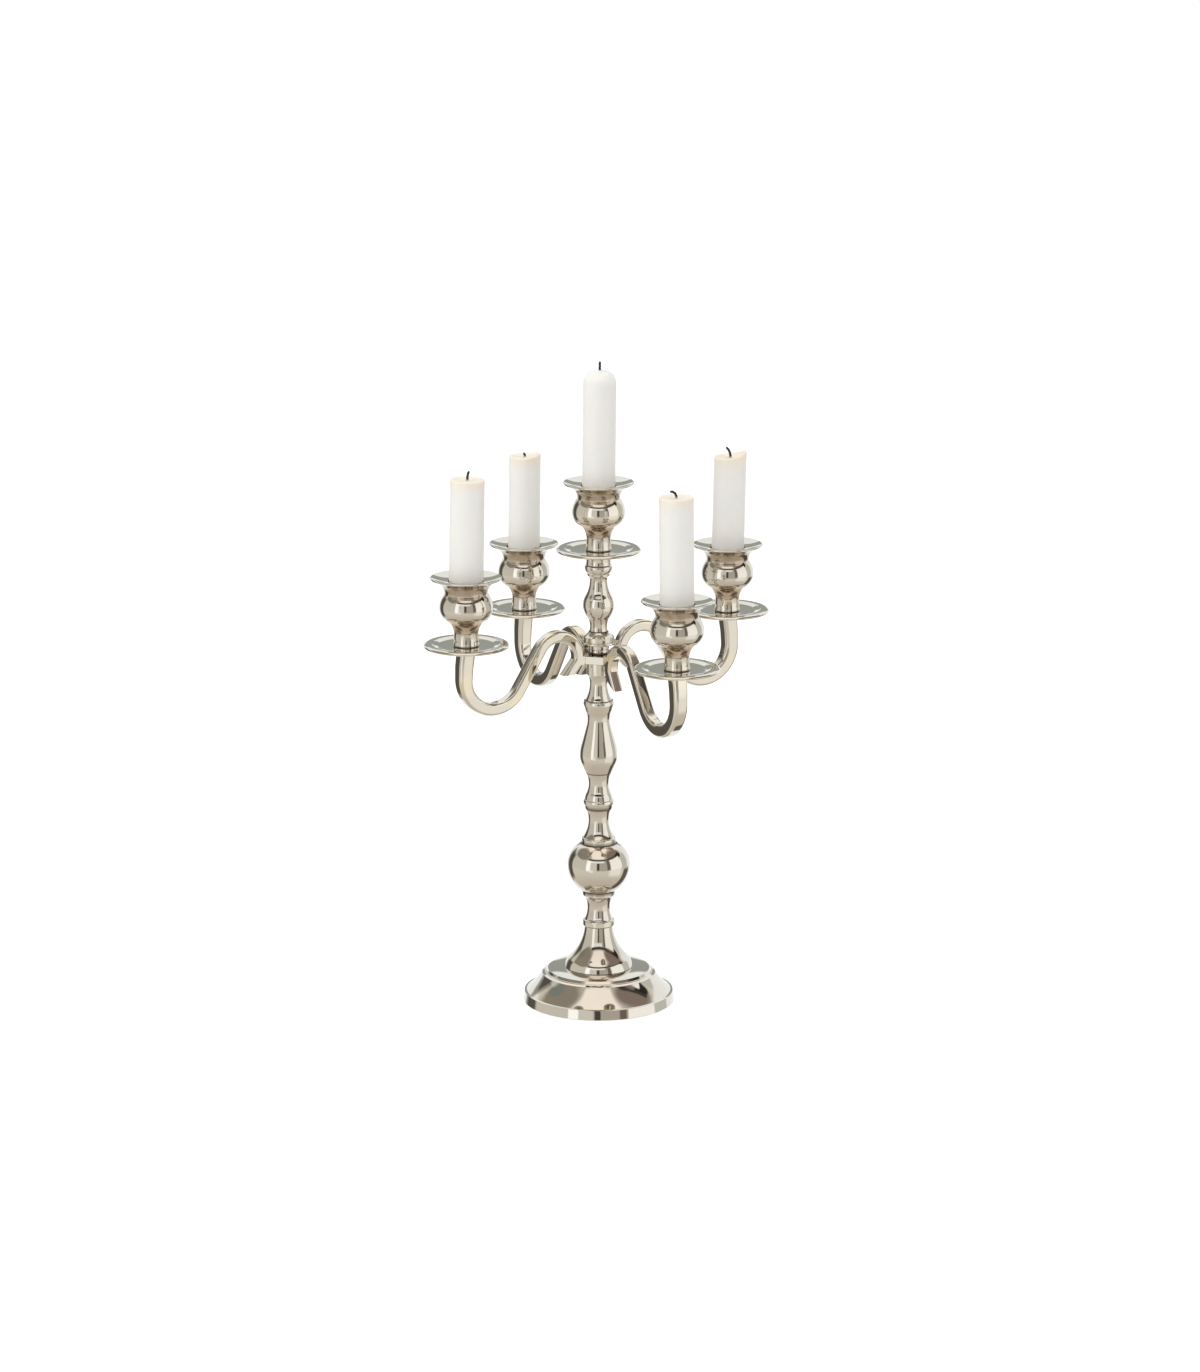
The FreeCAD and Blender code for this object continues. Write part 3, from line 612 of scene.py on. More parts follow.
# %% [markdown]
# ## The stem
#
# Seven turned pieces are threaded on one steel rod: the flare on the foot, a collared neck, the
# ball, a waist, a beaded ring, the long baluster and the neck under the hub. Real stems are built
# this way because short pieces are easy to cast, to turn and to polish, and the joints between
# them fall in the grooves where nobody looks.

# %% Templates of the stem pieces
def flare_template():
    outline = Template(rod_bore, 21.1).line(17.3, 3.1).line(17.3, 0.0).line(22.6, 0.0)
    outline.line(22.6, 0.4).arc(20.3, 6.1, 0.35).arc(9.4, 28.1, -2.5)
    return outline.line(rod_bore, 28.1).close()


def lower_neck_template():
    outline = Template(rod_bore, 0.0).line(9.6, 0.0).arc(10.7, 1.1, 0.3).line(10.7, 3.5)
    outline.arc(9.6, 4.6, 0.3).arc(10.0, 20.8, -2.2).line(10.8, 21.6)
    return outline.line(10.8, 24.3).line(rod_bore, 24.3).close()


def ball_template():
    outline = Template(rod_bore, 0.0).line(10.9, 0.0).reach_upright(20.95, 18.1)
    return outline.leave_upright(11.9, 32.8).line(rod_bore, 32.8).close()


def waist_template():
    outline = Template(rod_bore, 0.0).line(11.45, 0.0).line(11.45, 2.7).arc(10.7, 4.1, 0.3)
    outline.reach_upright(6.8, 15.8).leave_upright(8.9, 23.8)
    return outline.line(rod_bore, 23.8).close()


def ring_template():
    outline = Template(rod_bore, 0.0).line(8.95, 0.0).line(9.7, 2.8).arc(9.7, 6.2, 0.55)
    outline.line(9.4, 6.2).arc(8.6, 9.8, 0.15).reach_upright(6.72, 16.5)
    return outline.leave_upright(8.75, 24.7).line(rod_bore, 24.7).close()


def baluster_template():
    outline = Template(rod_bore, 0.0).line(8.85, 0.0).line(11.6, 6.1)
    outline.reach_upright(12.65, 11.4).leave_upright(11.2, 20.1).line(8.3, 30.7)
    outline.reach_upright(7.45, 36.0).leave_upright(8.9, 42.1).line(9.85, 45.4)
    return outline.arc(9.5, 49.3, 0.55).line(rod_bore, 49.3).close()


def upper_neck_template():
    outline = Template(rod_bore, 0.0).line(8.9, 0.0).reach_upright(5.9, 11.0)
    outline.leave_upright(7.4, 16.8).line(7.9, 17.4).line(7.9, 26.0)
    return outline.line(rod_bore, 26.0).close()


# %% Turn the stem
stem_templates = {
    "stem_flare": flare_template,
    "stem_lower_neck": lower_neck_template,
    "stem_ball": ball_template,
    "stem_waist": waist_template,
    "stem_ring": ring_template,
    "stem_baluster": baluster_template,
    "stem_upper_neck": upper_neck_template,
}
for node, template in stem_templates.items():
    turn_metal(node, template())

# %% [markdown]
# ## The hub
#
# The arms are brazed to a flat block. It starts as a square cube; its upright edges are bevelled
# until only a narrow facet is left for each arm, and a bore lets the rod through.

# %% Cut the hub
hub_facet = 7.3 * mm


def upright_edges(piece):
    """Selects the edges that run straight up."""
    points = piece.data.vertices
    for edge in piece.data.edges:
        start, end = (points[k].co for k in edge.vertices)
        edge.select = abs(start.z - end.z) > hypot(start.x - end.x, start.y - end.y)


def hub_block(name):
    low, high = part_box("arm_hub")
    piece = fresh(name, bpy.ops.mesh.primitive_cube_add, size=1, location=(low + high) / 2,
                  scale=high - low)
    settle(piece)
    edit("EDGE", everything=False)
    leave_edit()
    upright_edges(piece)
    bpy.ops.object.mode_set(mode="EDIT")
    bpy.ops.mesh.bevel(offset=high.x - hub_facet / 2, segments=1, affect="EDGES")
    leave_edit()
    drill = fresh("drill", bpy.ops.mesh.primitive_cylinder_add, vertices=72, radius=rod_bore * mm, depth=1)
    join_shape(piece, drill, "DIFFERENCE")
    return piece


hub = hub_block("arm_hub_polished")
round_edges(hub)
mark_seams(hub)
dress(hub, "arm_hub", turned_nickel)
tell(hub)

# %% [markdown]
# ## Cap and top baluster
#
# A stepped cap lies on the hub, and the pear-shaped baluster screws onto the rod above it. The
# baluster is bored blind from both ends: for the rod below, and for the stud that holds the centre
# light on top. A template that ends on the middle line closes by itself, so the baluster's outline
# begins and ends there instead of running round.

# %% Turn the cap and the top baluster
rod_hole = 3.05
stud_hole = 2.05


def cap_template():
    outline = Template(rod_bore, 0.0).line(6.4, 0.0).arc(6.4, 3.1, 0.35).line(6.9, 3.4)
    outline.line(6.9, 6.9).line(11.6, 6.9).arc(11.6, 8.5, 0.3).line(10.2, 8.5)
    return outline.line(10.2, 11.7).arc(6.4, 15.1, -0.35).line(rod_bore, 15.1).close()


def top_template():
    outline = Template(0.0, 13.5).line(rod_hole, 13.5).line(rod_hole, 0.0).line(6.1, 0.0)
    outline.reach_upright(5.7, 3.0).leave_upright(7.2, 9.0).reach_upright(10.35, 17.5)
    outline.leave_upright(8.9, 23.4).reach_upright(5.8, 34.2).leave_upright(7.5, 37.6)
    outline.line(7.5, 39.0).reach_upright(9.2, 43.0).arc(8.3, 44.9, 0.25).arc(8.8, 51.7, -0.45)
    return outline.line(stud_hole, 51.7).line(stud_hole, 41.2).line(0.0, 41.2)


turn_metal("hub_cap", cap_template())
turn_metal("top_baluster", top_template())

# %% [markdown]
# ## Copies of one pattern
#
# The five pans and the five cups are alike. Each pattern is turned once, at the origin, and every
# light gets a copy with a mesh of its own, moved to its seat. A pan's brim is a little crowned and
# its outer edge is rolled, so each catches a thin line of light.

# %% Copy a pattern to a seat
def copy_to(pattern, name, place):
    piece = pattern.copy()
    piece.data = pattern.data.copy()
    piece.name = name
    bpy.context.collection.objects.link(piece)
    piece.location = place
    settle(piece)
    return piece


def drip_pan_template():
    outline = Template(2.25, 0.0).line(9.2, 0.0).line(27.0, 1.9).arc(27.94, 3.0, 0.28)
    outline.arc(25.0, 4.3, 0.48).arc(21.7, 4.12, 0.06).line(18.9, 2.5).line(2.25, 2.5).close()
    return outline.roll_corner(21.7, 4.12, 1.2).roll_corner(18.9, 2.5, 1.6)


def cup_template():
    outline = Template(0.0, 10.5).line(stud_hole, 10.5).line(stud_hole, 0.0)
    outline.line(8.3, 0.0).arc(8.3, 2.4, 0.3).reach_upright(8.0, 8.1).leave_upright(12.0, 16.9)
    outline.line(14.2, 18.1).reach_upright(17.5, 25.5).leave_upright(14.9, 33.7).line(14.0, 34.8)
    outline.leave_upright(15.1, 39.2).arc(19.6, 43.0, -0.55).line(22.7, 44.4).arc(22.7, 45.7, 0.6)
    outline.arc(11.65, 43.1, -0.4).line(10.9, 21.7)
    return outline.line(0.0, 21.7)


# %% Pans and cups for the five lights
origin = Vector((0, 0, 0))
patterns = {"drip_pan": turned("pan_pattern", drip_pan_template(), origin, high_end=False),
            "candle_cup": turned("cup_pattern", cup_template(), origin, high_end=False, reach=0.9 * mm)}
for kind, pattern in patterns.items():
    for name in light_names:
        node = kind + "_" + name
        piece = copy_to(pattern, node + "_polished", underside(node))
        dress(piece, node, pan_nickel if kind == "drip_pan" else cup_nickel)
    bpy.data.objects.remove(pattern)
    print(kind, "copied to", len(light_names), "lights")

# %% [markdown]
# ## The arms
#
# Each arm is a square bar with rounded corners, forged thinner towards its tail and bent into a
# lazy S: down from the seat, round a dip, over a crest and down to the hub. Its middle line is made
# of arcs that run smoothly into each other, so the same few sizes give every point of the way.

# %% The way the bar bends
arm_reach = seats["right"].x / mm
hub_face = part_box("arm_hub")[1].x / mm
bar_top, bar_trough, bar_tail = 11.0, 8.4, 7.2
bar_corner_share = 0.26
riser_radius, trough_radius, crest_radius, tail_radius = 100.0, 22.0, 15.5, 5.5
trough_centre_drop, crest_centre_drop = 20.0, 14.9
riser_overrun = 1.3
braze_gap = 0.2
stud_depth = 10.5
bar_edge = 0.2 * mm
bend_step = radians(4.5)
# name: the tail's angle off the upright, drop of its level end under the seat
tails = {"left": (40.0, 26.0), "right": (40.0, 26.0), "front": (29.0, 27.6), "back": (40.0, 26.0)}
ground_slope = {"front": radians(33.0)}
tail_tip_flat = 1.0
tail_stretch, seat_stretch = (-1.0, 0.4), (0.75, 2.0)


def bend_points(centre, radius, start, end):
    """Points on an arc as distance out, height and heading."""
    count = max(2, round(abs(end - start) / bend_step))
    onward = pi / 2 if end > start else -pi / 2
    turns = [start + (end - start) * k / count for k in range(count + 1)]
    return [(centre[0] + radius * cos(t), centre[1] + radius * sin(t), t + onward) for t in turns]


def arm_way(tail_angle, tail_drop):
    """Middle line from just over the pan seat to beyond the tail, seat at height 0."""
    tail_angle = radians(tail_angle)
    bow = riser_radius - (riser_radius ** 2 - trough_centre_drop ** 2) ** 0.5
    trough = (arm_reach + bow - trough_radius, -trough_centre_drop)
    crest = (hub_face + braze_gap + bar_tail / 2 + crest_radius, -crest_centre_drop)
    across = (crest[0] - trough[0], crest[1] - trough[1])
    lay = atan2(across[1], across[0]) + acos((trough_radius + crest_radius) / hypot(*across))
    lay = lay % (2 * pi) - 2 * pi
    riser_top = riser_overrun * atan2(trough_centre_drop, riser_radius)
    riser = bend_points((trough[0] + trough_radius - riser_radius, trough[1]), riser_radius, riser_top, 0)
    dip = bend_points(trough, trough_radius, 0, lay)
    crown = bend_points(crest, crest_radius, lay + pi, pi)
    curl_centre = (crest[0] - crest_radius + tail_radius, crest[1])
    curl = bend_points(curl_centre, tail_radius, pi, pi + tail_angle)
    x, z, heading = curl[-1]
    run = (z + tail_drop) / cos(tail_angle) + bar_tail
    end = (x + run * cos(heading), z + run * sin(heading), heading)
    return riser + dip[1:] + crown + curl[1:] + [end]


way = arm_way(*tails["left"])
print("arm way of", len(way), "points, its dip", round(min(point[1] for point in way), 1), "mm off the seat")

# %% [markdown]
# The bar is drawn as by hand: a square of four vertices gets its corners rounded, and that face is
# then extruded from point to point, turned to the new heading and scaled to the bar's thickness
# there. Both ends run too far and are cut level by a plane, each within its own stretch, counted in
# arm lengths from the stem. The front arm's tail is also ground off at its inner corner.

# %% Bend a bar
def bar_sides(points):
    """Side of the square at each point: a quick taper to the dip and a slow one after it."""
    runs = [0.0]
    for (x0, z0, _), (x1, z1, _) in zip(points, points[1:]):
        runs.append(runs[-1] + hypot(x1 - x0, z1 - z0))
    heights = [point[1] for point in points]
    dip_run = runs[heights.index(min(heights))]
    sides = []
    for run in runs:
        if run < dip_run:
            sides.append(bar_top + (bar_trough - bar_top) * run / dip_run)
        else:
            sides.append(bar_trough + (bar_tail - bar_trough) * (run - dip_run) / (runs[-1] - dip_run))
    return sides


def bend_bar(name, points):
    sides = bar_sides(points)
    x, z, heading = points[0]
    piece = fresh(name, bpy.ops.mesh.primitive_plane_add, size=sides[0] * mm, location=(x * mm, 0, z * mm),
                  rotation=(0, pi / 2 - heading, 0))
    settle(piece)
    edit()
    bpy.ops.mesh.bevel(offset=bar_corner_share * sides[0] * mm, segments=5, affect="VERTICES")
    bpy.ops.mesh.select_mode(type="FACE")
    bpy.ops.mesh.select_all(action="SELECT")
    for before, after, side_before, side in zip(points, points[1:], sides, sides[1:]):
        step = ((after[0] - before[0]) * mm, 0, (after[1] - before[1]) * mm)
        centre = (after[0] * mm, 0, after[1] * mm)
        bpy.ops.mesh.extrude_region_move(TRANSFORM_OT_translate={"value": step})
        bpy.ops.transform.rotate(value=after[2] - before[2], orient_axis="Y", center_override=centre)
        bpy.ops.transform.resize(value=(side / side_before,) * 3, center_override=centre)
    outwards()
    leave_edit()
    return piece


def cut_off(piece, point, kept_side, stretch):
    """Cuts one stretch of the bar by a plane; kept_side points from the plane into what stays."""
    alone(piece)
    edit("FACE", everything=False)
    leave_edit()
    for face in piece.data.polygons:
        face.select = stretch[0] < face.center.x / (arm_reach * mm) < stretch[1]
    bpy.ops.object.mode_set(mode="EDIT")
    bpy.ops.mesh.bisect(plane_co=point, plane_no=kept_side, use_fill=True, clear_inner=True)
    leave_edit()


def tail_tip(points, tail_drop):
    """Distance out at which the level tip of a ground tail begins."""
    x, z, heading = points[-2]
    lean = tan(heading + pi / 2)
    return x + (z + tail_drop) * lean + bar_tail / 2 * hypot(1, lean) - tail_tip_flat


# %% [markdown]
# ## Brazing the arms on
#
# At the hub a small pad fills the gap between the tail and its facet. It is a box joined to the bar
# by a boolean union, and the hole for the cup's stud is cut by a boolean difference. The pads differ
# because the front and back arms sit one step lower, and the front arm has a tail of its own.

# %% Make the four arms
def braze_pad(hub_low, hub_high):
    inner, outer = hub_face * mm, (hub_face + braze_gap + bar_tail / 2) * mm
    middle = Vector(((inner + outer) / 2, 0, (hub_low + hub_high) / 2))
    pad = fresh("pad", bpy.ops.mesh.primitive_cube_add, size=1, location=middle,
                scale=(outer - inner, hub_facet, hub_high - hub_low))
    settle(pad)
    return pad


def stud_drill():
    return fresh("drill", bpy.ops.mesh.primitive_cylinder_add, vertices=48, radius=stud_hole * mm,
                 depth=2 * stud_depth * mm, location=(arm_reach * mm, 0, 0))


def make_arm(name):
    node = "arm_" + name
    seat = seats[name]
    hub_low, hub_high = [corner.z - seat.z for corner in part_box("arm_hub")]
    tail_angle, tail_drop = tails[name]
    points = arm_way(tail_angle, tail_drop)
    piece = bend_bar(node + "_polished", points)
    cut_off(piece, (0, 0, 0), (0, 0, -1), seat_stretch)
    cut_off(piece, (0, 0, -tail_drop * mm), (0, 0, 1), tail_stretch)
    if name in ground_slope:
        slope = ground_slope[name]
        corner = (tail_tip(points, tail_drop) * mm, 0, -tail_drop * mm)
        cut_off(piece, corner, (sin(slope), 0, cos(slope)), tail_stretch)
    join_shape(piece, braze_pad(hub_low, hub_high), "UNION")
    join_shape(piece, stud_drill(), "DIFFERENCE")
    round_edges(piece, bar_edge)
    piece.rotation_euler.z = atan2(seat.y, seat.x)
    piece.location.z = seat.z
    settle(piece)
    dress(piece, node, bar_nickel)
    tell(piece)


for name in arm_names:
    make_arm(name)

# %% [markdown]
# ## Wax
#
# Dinner candles are white paraffin: smooth, a little waxy in shine, and lit from within near the
# surface. A candle that has burnt is warmer at its top, where the wax has been liquid. A number per
# vertex, melted, goes from 1 at the rim to 0 about a centimetre below it.

# %% The wax finish
def paraffin():
    finish = Finish(bpy.data.materials.new("paraffin"))
    spot = finish.spot()
    melted = finish.mark("melted")
    clouds = finish.clouds(spot, 11 * mm)
    grain = finish.clouds(spot, 1.3 * mm, 3.0)
    tone = finish.mix(colour(0.925, 0.915, 0.885), colour(0.90, 0.885, 0.845), clouds)
    tone = finish.mix(tone, colour(0.97, 0.82, 0.65), melted * (0.5 + 0.3 * clouds))
    height = finish.clouds(spot, 7 * mm, 0.0) * (0.06 * mm) + grain * (0.008 * mm)
    bump = finish.bump(height)
    sockets = {"Base Color": tone, "Roughness": 0.36 + 0.16 * grain, "Normal": bump,
               "Specular IOR Level": 0.42, "Subsurface Weight": 0.35,
               "Subsurface Radius": (1.0, 0.75, 0.55), "Subsurface Scale": 2.5 * mm}
    return finish.surface(sockets)


wax = paraffin()
print("wax ready")

# %% [markdown]
# ## The candles
#
# Each candle is turned like the metal, from a butt that fits its socket to a top that tells how it
# burnt: the centre one is new, with a rounded shoulder; two have burnt to a shallow dish; two have
# burnt unevenly and kept a wall of wax on one side. The template gives a level rim, and the uneven
# rims are then pushed up and wavered. The candle's own lift axis says how it leans.

# %% Sizes of the candles
flange_over_seat = 48.2
socket_floor_drop, socket_mouth_drop = 24.0, 2.6
socket_floor_radius, socket_mouth_radius = 10.9, 11.5
candle_gap, floor_gap, wick_bore = 0.5, 0.05, 0.95
lean_heading = radians(-30.4)
candles = {
    "centre": {"length": 74.0, "radius": 10.9, "wall": 0.0, "new": True},
    "left": {"length": 64.5, "radius": 11.3, "wall": 0.0, "new": False},
    "right": {"length": 59.1, "radius": 10.8, "wall": 5.0, "new": False},
    "front": {"length": 67.6, "radius": 11.2, "wall": 0.0, "new": False},
    "back": {"length": 59.6, "radius": 10.7, "wall": 2.4, "new": False},
}


def lift_axis(name):
    for joint in frame["joints"]:
        if joint["name"] == "lift_candle_" + name:
            return Vector(joint["axis"]).normalized()


def stand(piece, name):
    """Leans a candle or wick about the middle of its socket and sets it in its cup."""
    pivot = Vector((0, 0, -(socket_mouth_drop + socket_floor_drop) / 2 * mm))
    lean = Vector((0, 0, 1)).rotation_difference(lift_axis(name)).to_matrix().to_4x4()
    place = Matrix.Translation(seats[name] + Vector((0, 0, flange_over_seat * mm)) + pivot)
    piece.matrix_world = place @ lean @ Matrix.Rotation(lean_heading, 4, "Z") @ Matrix.Translation(-pivot)
    settle(piece)


def butt_height(name):
    lean = lift_axis(name).angle(Vector((0, 0, 1)))
    return floor_gap + socket_floor_radius * sin(lean) - socket_floor_drop


# %% Template of a candle
side_ring = 2.4
melt_depth, melt_rim = 1.2, 1.6


def candle_template(name):
    size = candles[name]
    radius, length = size["radius"], size["length"]
    low = butt_height(name)
    butt = min(radius, socket_mouth_radius - candle_gap)
    outline = Template(wick_bore, low).line(socket_floor_radius - candle_gap - 0.3, low)
    outline.line(socket_floor_radius - candle_gap, low + 0.3).line(butt, -socket_mouth_drop)
    outline.line(radius, 1.0 - socket_mouth_drop)
    rim = length - (8.5 if size["new"] else 0.8)
    rings = int((rim - 1.0) / side_ring)
    for k in range(1, rings):
        outline.line(radius, rim * k / rings)
    outline.line(radius, rim)
    if size["new"]:
        outline.leave_upright(5.6, length - 0.8).line(3.2, length - 0.45).line(1.7, length - 0.2)
        return outline.line(wick_bore, length).close()
    outline.arc(radius - 0.8, length, 0.234).line(radius - melt_rim, length - 0.15)
    dish = [(0.86, 0.42), (0.68, 0.72), (0.48, 0.92), (0.28, 1.0), (0.16, 0.95)]
    for share, depth in dish:
        outline.line(share * (radius - melt_rim), length - melt_depth * depth)
    return outline.line(wick_bore, length - melt_depth * 0.8).close()


print("centre candle template has", len(candle_template("centre").points), "points")

# %% [markdown]
# Wax is never true. The side gets a slow waver of a tenth of a millimetre, and a burnt rim wavers a
# little in height. On the two uneven candles everything near the rim is lifted on the side away
# from the flame's draught, most at the outside and not at all round the wick.

# %% Shape the burnt tops
waver_side = 0.10
waver_rim = 0.45
melted_depth = 11.0
ragged_depth = 4


def burn_rule(name):
    size = candles[name]
    length, radius, wall = size["length"], size["radius"], size["wall"]
    offset = Vector((len(name) * 7.0, 0, 0))

    def rule(spot):
        x, y, z = spot / mm
        reach = hypot(x, y)
        drift = noise.noise(Vector((x * 0.12, y * 0.12, z * 0.05)) + offset)
        if z > 0 and reach > 2:
            shrink = 1 - waver_side * (0.5 + 0.5 * drift) / radius
            x, y = x * shrink, y * shrink
        if not size["new"] and z > length - ragged_depth:
            near_top = (z - length + ragged_depth) / ragged_depth
            outward = max(0.0, reach / radius - 0.3) / 0.7
            facing = 0.5 + 0.5 * x / max(reach, 0.5)
            ragged = noise.noise(Vector((x * 0.3, y * 0.3, 3.0)) + offset)
            z -= waver_rim * near_top * outward * (0.5 + 0.5 * ragged)
            z += wall * near_top * outward ** 2 * facing ** 3 * (1 - 0.12 * abs(ragged))
        return Vector((x, y, z)) * mm

    return rule


def mark_melted(piece, name):
    share = 0.0 if candles[name]["new"] else 1.0
    rim = candles[name]["length"]
    heights = [vertex.co.z / mm for vertex in piece.data.vertices]
    write_marks(piece, "melted", [share * max(0.0, min(1.0, 1 - (rim - height) / melted_depth)) ** 1.5
                                  for height in heights])


for name in light_names:
    piece = spin_outline("candle_" + name + "_wax", candle_template(name), origin)
    nudge(piece, burn_rule(name))
    mark_melted(piece, name)
    modify(piece, "BEVEL", width=0.2 * mm, segments=2, limit_method="ANGLE", angle_limit=radians(40))
    bpy.ops.object.shade_smooth_by_angle(angle=radians(50))
    stand(piece, name)
    dress(piece, "candle_" + name, wax, "lit_candle_" + name)
    tell(piece)

# %% [markdown]
# ## The wicks
#
# A wick is a plait of cotton, charred black above the wax, and bent over by the flame where the
# candle has burnt. The plait is a circle pinched into three lobes, extruded upwards and turned a
# little at each step; on a burnt candle the upper end is then curled over along an arc.

# %% Plait the wicks
wick_radius = 0.9
wick_step = 0.45
plait_start = 2
plait_turn = radians(24)
# name: height over the wax and reach to the side, in millimetres
wicks = {"centre": (5.6, 0.0), "left": (5.2, 1.0), "right": (6.0, -3.0),
         "front": (3.2, -4.0), "back": (1.8, -1.0)}


def charred_cotton():
    finish = Finish(bpy.data.materials.new("charred_cotton"))
    spot = finish.spot()
    char = finish.mark("char")
    fibres = finish.clouds(spot, 0.25 * mm, 4.0, 0.7)
    clean = finish.mix(colour(0.80, 0.76, 0.66), colour(0.60, 0.55, 0.45), fibres)
    burnt = finish.mix(colour(0.010, 0.009, 0.009), colour(0.045, 0.040, 0.038), fibres)
    tone = finish.mix(clean, burnt, char)
    bump = finish.bump(fibres, 0.8, 0.08 * mm)
    sockets = {"Base Color": tone, "Roughness": 0.75 + 0.2 * fibres, "Normal": bump}
    return finish.surface(sockets)


def plait_section(spot, level):
    """Pinches a circle into three lobes."""
    angle = atan2(spot.y, spot.x)
    pinch = 0.86 + 0.12 * cos(3 * angle)
    return Vector((spot.x * pinch, spot.y * pinch, level))


def curl_rule(name):
    """Bends what stands over the wax along an arc, as the construction's wick bends."""
    length = candles[name]["length"] * mm
    height, reach = [value * mm for value in wicks[name]]

    def rule(spot):
        above = spot.z - length
        if not reach or above <= 0:
            return spot
        bend = (reach ** 2 + height ** 2) / (2 * reach)
        whole = 2 * atan2(reach, height)
        angle = whole * min(1.0, above / (bend * whole))
        arm = bend - spot.x
        return Vector((bend - arm * cos(angle), spot.y, length + arm * sin(angle)))

    return rule


def make_wick(name):
    length = candles[name]["length"]
    height, reach = wicks[name]
    low = butt_height(name)
    arc = height
    if reach:
        arc = atan2(abs(reach), height) * (reach ** 2 + height ** 2) / abs(reach)
    piece = fresh("wick_" + name + "_cotton", bpy.ops.mesh.primitive_circle_add, vertices=18,
                  radius=wick_radius * mm, fill_type="NGON", location=(0, 0, low * mm))
    settle(piece)
    nudge(piece, lambda spot: plait_section(spot, low * mm))
    edit("FACE")
    inside = (length - plait_start - low) * mm
    bpy.ops.mesh.extrude_region_move(TRANSFORM_OT_translate={"value": (0, 0, inside)})
    steps = round((arc + plait_start) / wick_step)
    rise = (arc + plait_start) / steps * mm
    for k in range(steps):
        top = (0, 0, (length - plait_start) * mm + rise * (k + 1))
        bpy.ops.mesh.extrude_region_move(TRANSFORM_OT_translate={"value": (0, 0, rise)})
        bpy.ops.transform.rotate(value=plait_turn, orient_axis="Z", center_override=top)
        narrowing = 0.80 if k > steps - 3 else 1.0
        bpy.ops.transform.resize(value=(narrowing, narrowing, 1), center_override=top)
    outwards()
    leave_edit()
    write_marks(piece, "char", [max(0.0, min(1.0, (vertex.co.z / mm - length + 1.0) / 1.2))
                                for vertex in piece.data.vertices])
    nudge(piece, curl_rule(name))
    bpy.ops.object.shade_smooth_by_angle(angle=radians(60))
    stand(piece, name)
    return piece


cotton = charred_cotton()
for name in light_names:
    wick = make_wick(name)
    dress(wick, "wick_" + name, cotton, "lit_candle_" + name)
    tell(wick)

# %% [markdown]
# ## The room that the metal sees
#
# A mirror has no look of its own: it shows the room. So the world is painted like one, by direction
# only, with bearings counted from the camera's side. Below the horizon lies a beige table, lighter on
# the right. In front stands a wall with a post, a curtain and a transom between two windows, under a
# dark cornice and a brown ceiling with a long strip light. Walls and dark gaps lie at the sides, and
# behind the object a white sweep with a low grey wall. The camera itself sees plain white, and the
# light on wax and floor is even and neutral, so colours render about as they are written.

# %% Paint the room
camera_side = radians(-30.4)
toward_camera = (sin(camera_side), -cos(camera_side), 0)
to_the_right = (cos(camera_side), sin(camera_side), 0)

# what it is: colour, middle, half width and half height of an oval; angles in degrees
ceiling_ovals = [
    ("taupe shade on the left", (0.31, 0.28, 0.235), (-88, 45), (43, 21)),
    ("green shade on the left", (0.24, 0.265, 0.24), (-96, 34), (18, 9)),
    ("brown shade on the right", (0.27, 0.21, 0.185), (80, 45), (42, 20)),
    ("beam end on the right", (0.03, 0.027, 0.025), (97, 33), (17, 8)),
]
# what it is: colour, bearings from the camera's side, heights, softness of its edge; angles in degrees
room_views = [
    ("sweep behind", (1.02, 1.05, 1.07), (124, 199), (-90, 62), 4),
    ("sweep behind", (1.02, 1.05, 1.07), (-199, -134), (-90, 62), 4),
    ("wall behind", (0.38, 0.40, 0.375), (157, 199), (9, 23), 1.2),
    ("wall behind", (0.38, 0.40, 0.375), (-199, -157), (9, 23), 1.2),
    ("light side of the table", (1.02, 0.985, 0.92), (40, 92), (-32, -5), 8),
    ("wall on the left", (0.70, 0.68, 0.63), (-108, -46), (-11, 27), 2.5),
    ("wall on the right", (0.64, 0.64, 0.61), (94, 126), (-14, 24), 2.5),
    ("wall in front", (0.76, 0.74, 0.70), (-34, -7), (-11, 33), 2.5),
    ("dim wall in front", (0.50, 0.46, 0.41), (-8, 46), (-12, 33), 1.5),
    ("transom", (1.02, 1.05, 1.08), (-34, 23), (25, 33), 2),
    ("left gap", (0.34, 0.34, 0.31), (-146, -110), (-34, 25), 3),
    ("dark of the left gap", (0.11, 0.10, 0.09), (-138, -114), (-30, 20), 2),
    ("right gap", (0.14, 0.125, 0.11), (106, 142), (-72, -16), 4),
    ("post", (0.08, 0.07, 0.06), (-6, 3), (-8, 24), 1),
    ("brown curtain", (0.18, 0.15, 0.12), (32, 43), (-8, 33), 1.5),
    ("left window", (1.30, 1.32, 1.34), (-47, -31), (-14, 33), 1.2),
    ("right window", (1.15, 1.15, 1.12), (46, 94), (-10, 33), 1.5),
    ("cloth on the table", (1.05, 1.02, 0.95), (-37, -21), (-19, -9), 2),
    ("cornice", (0.055, 0.055, 0.05), (-46, 50), (34, 40.5), 1.5),
    ("cornice on the right", (0.055, 0.055, 0.05), (47, 112), (37.5, 42), 1.5),
]


def mask(room, value, low, high, soft):
    return room.ease(value, low - soft, low + soft) * room.ease(value, high - soft, high + soft, 1.0, 0.0)


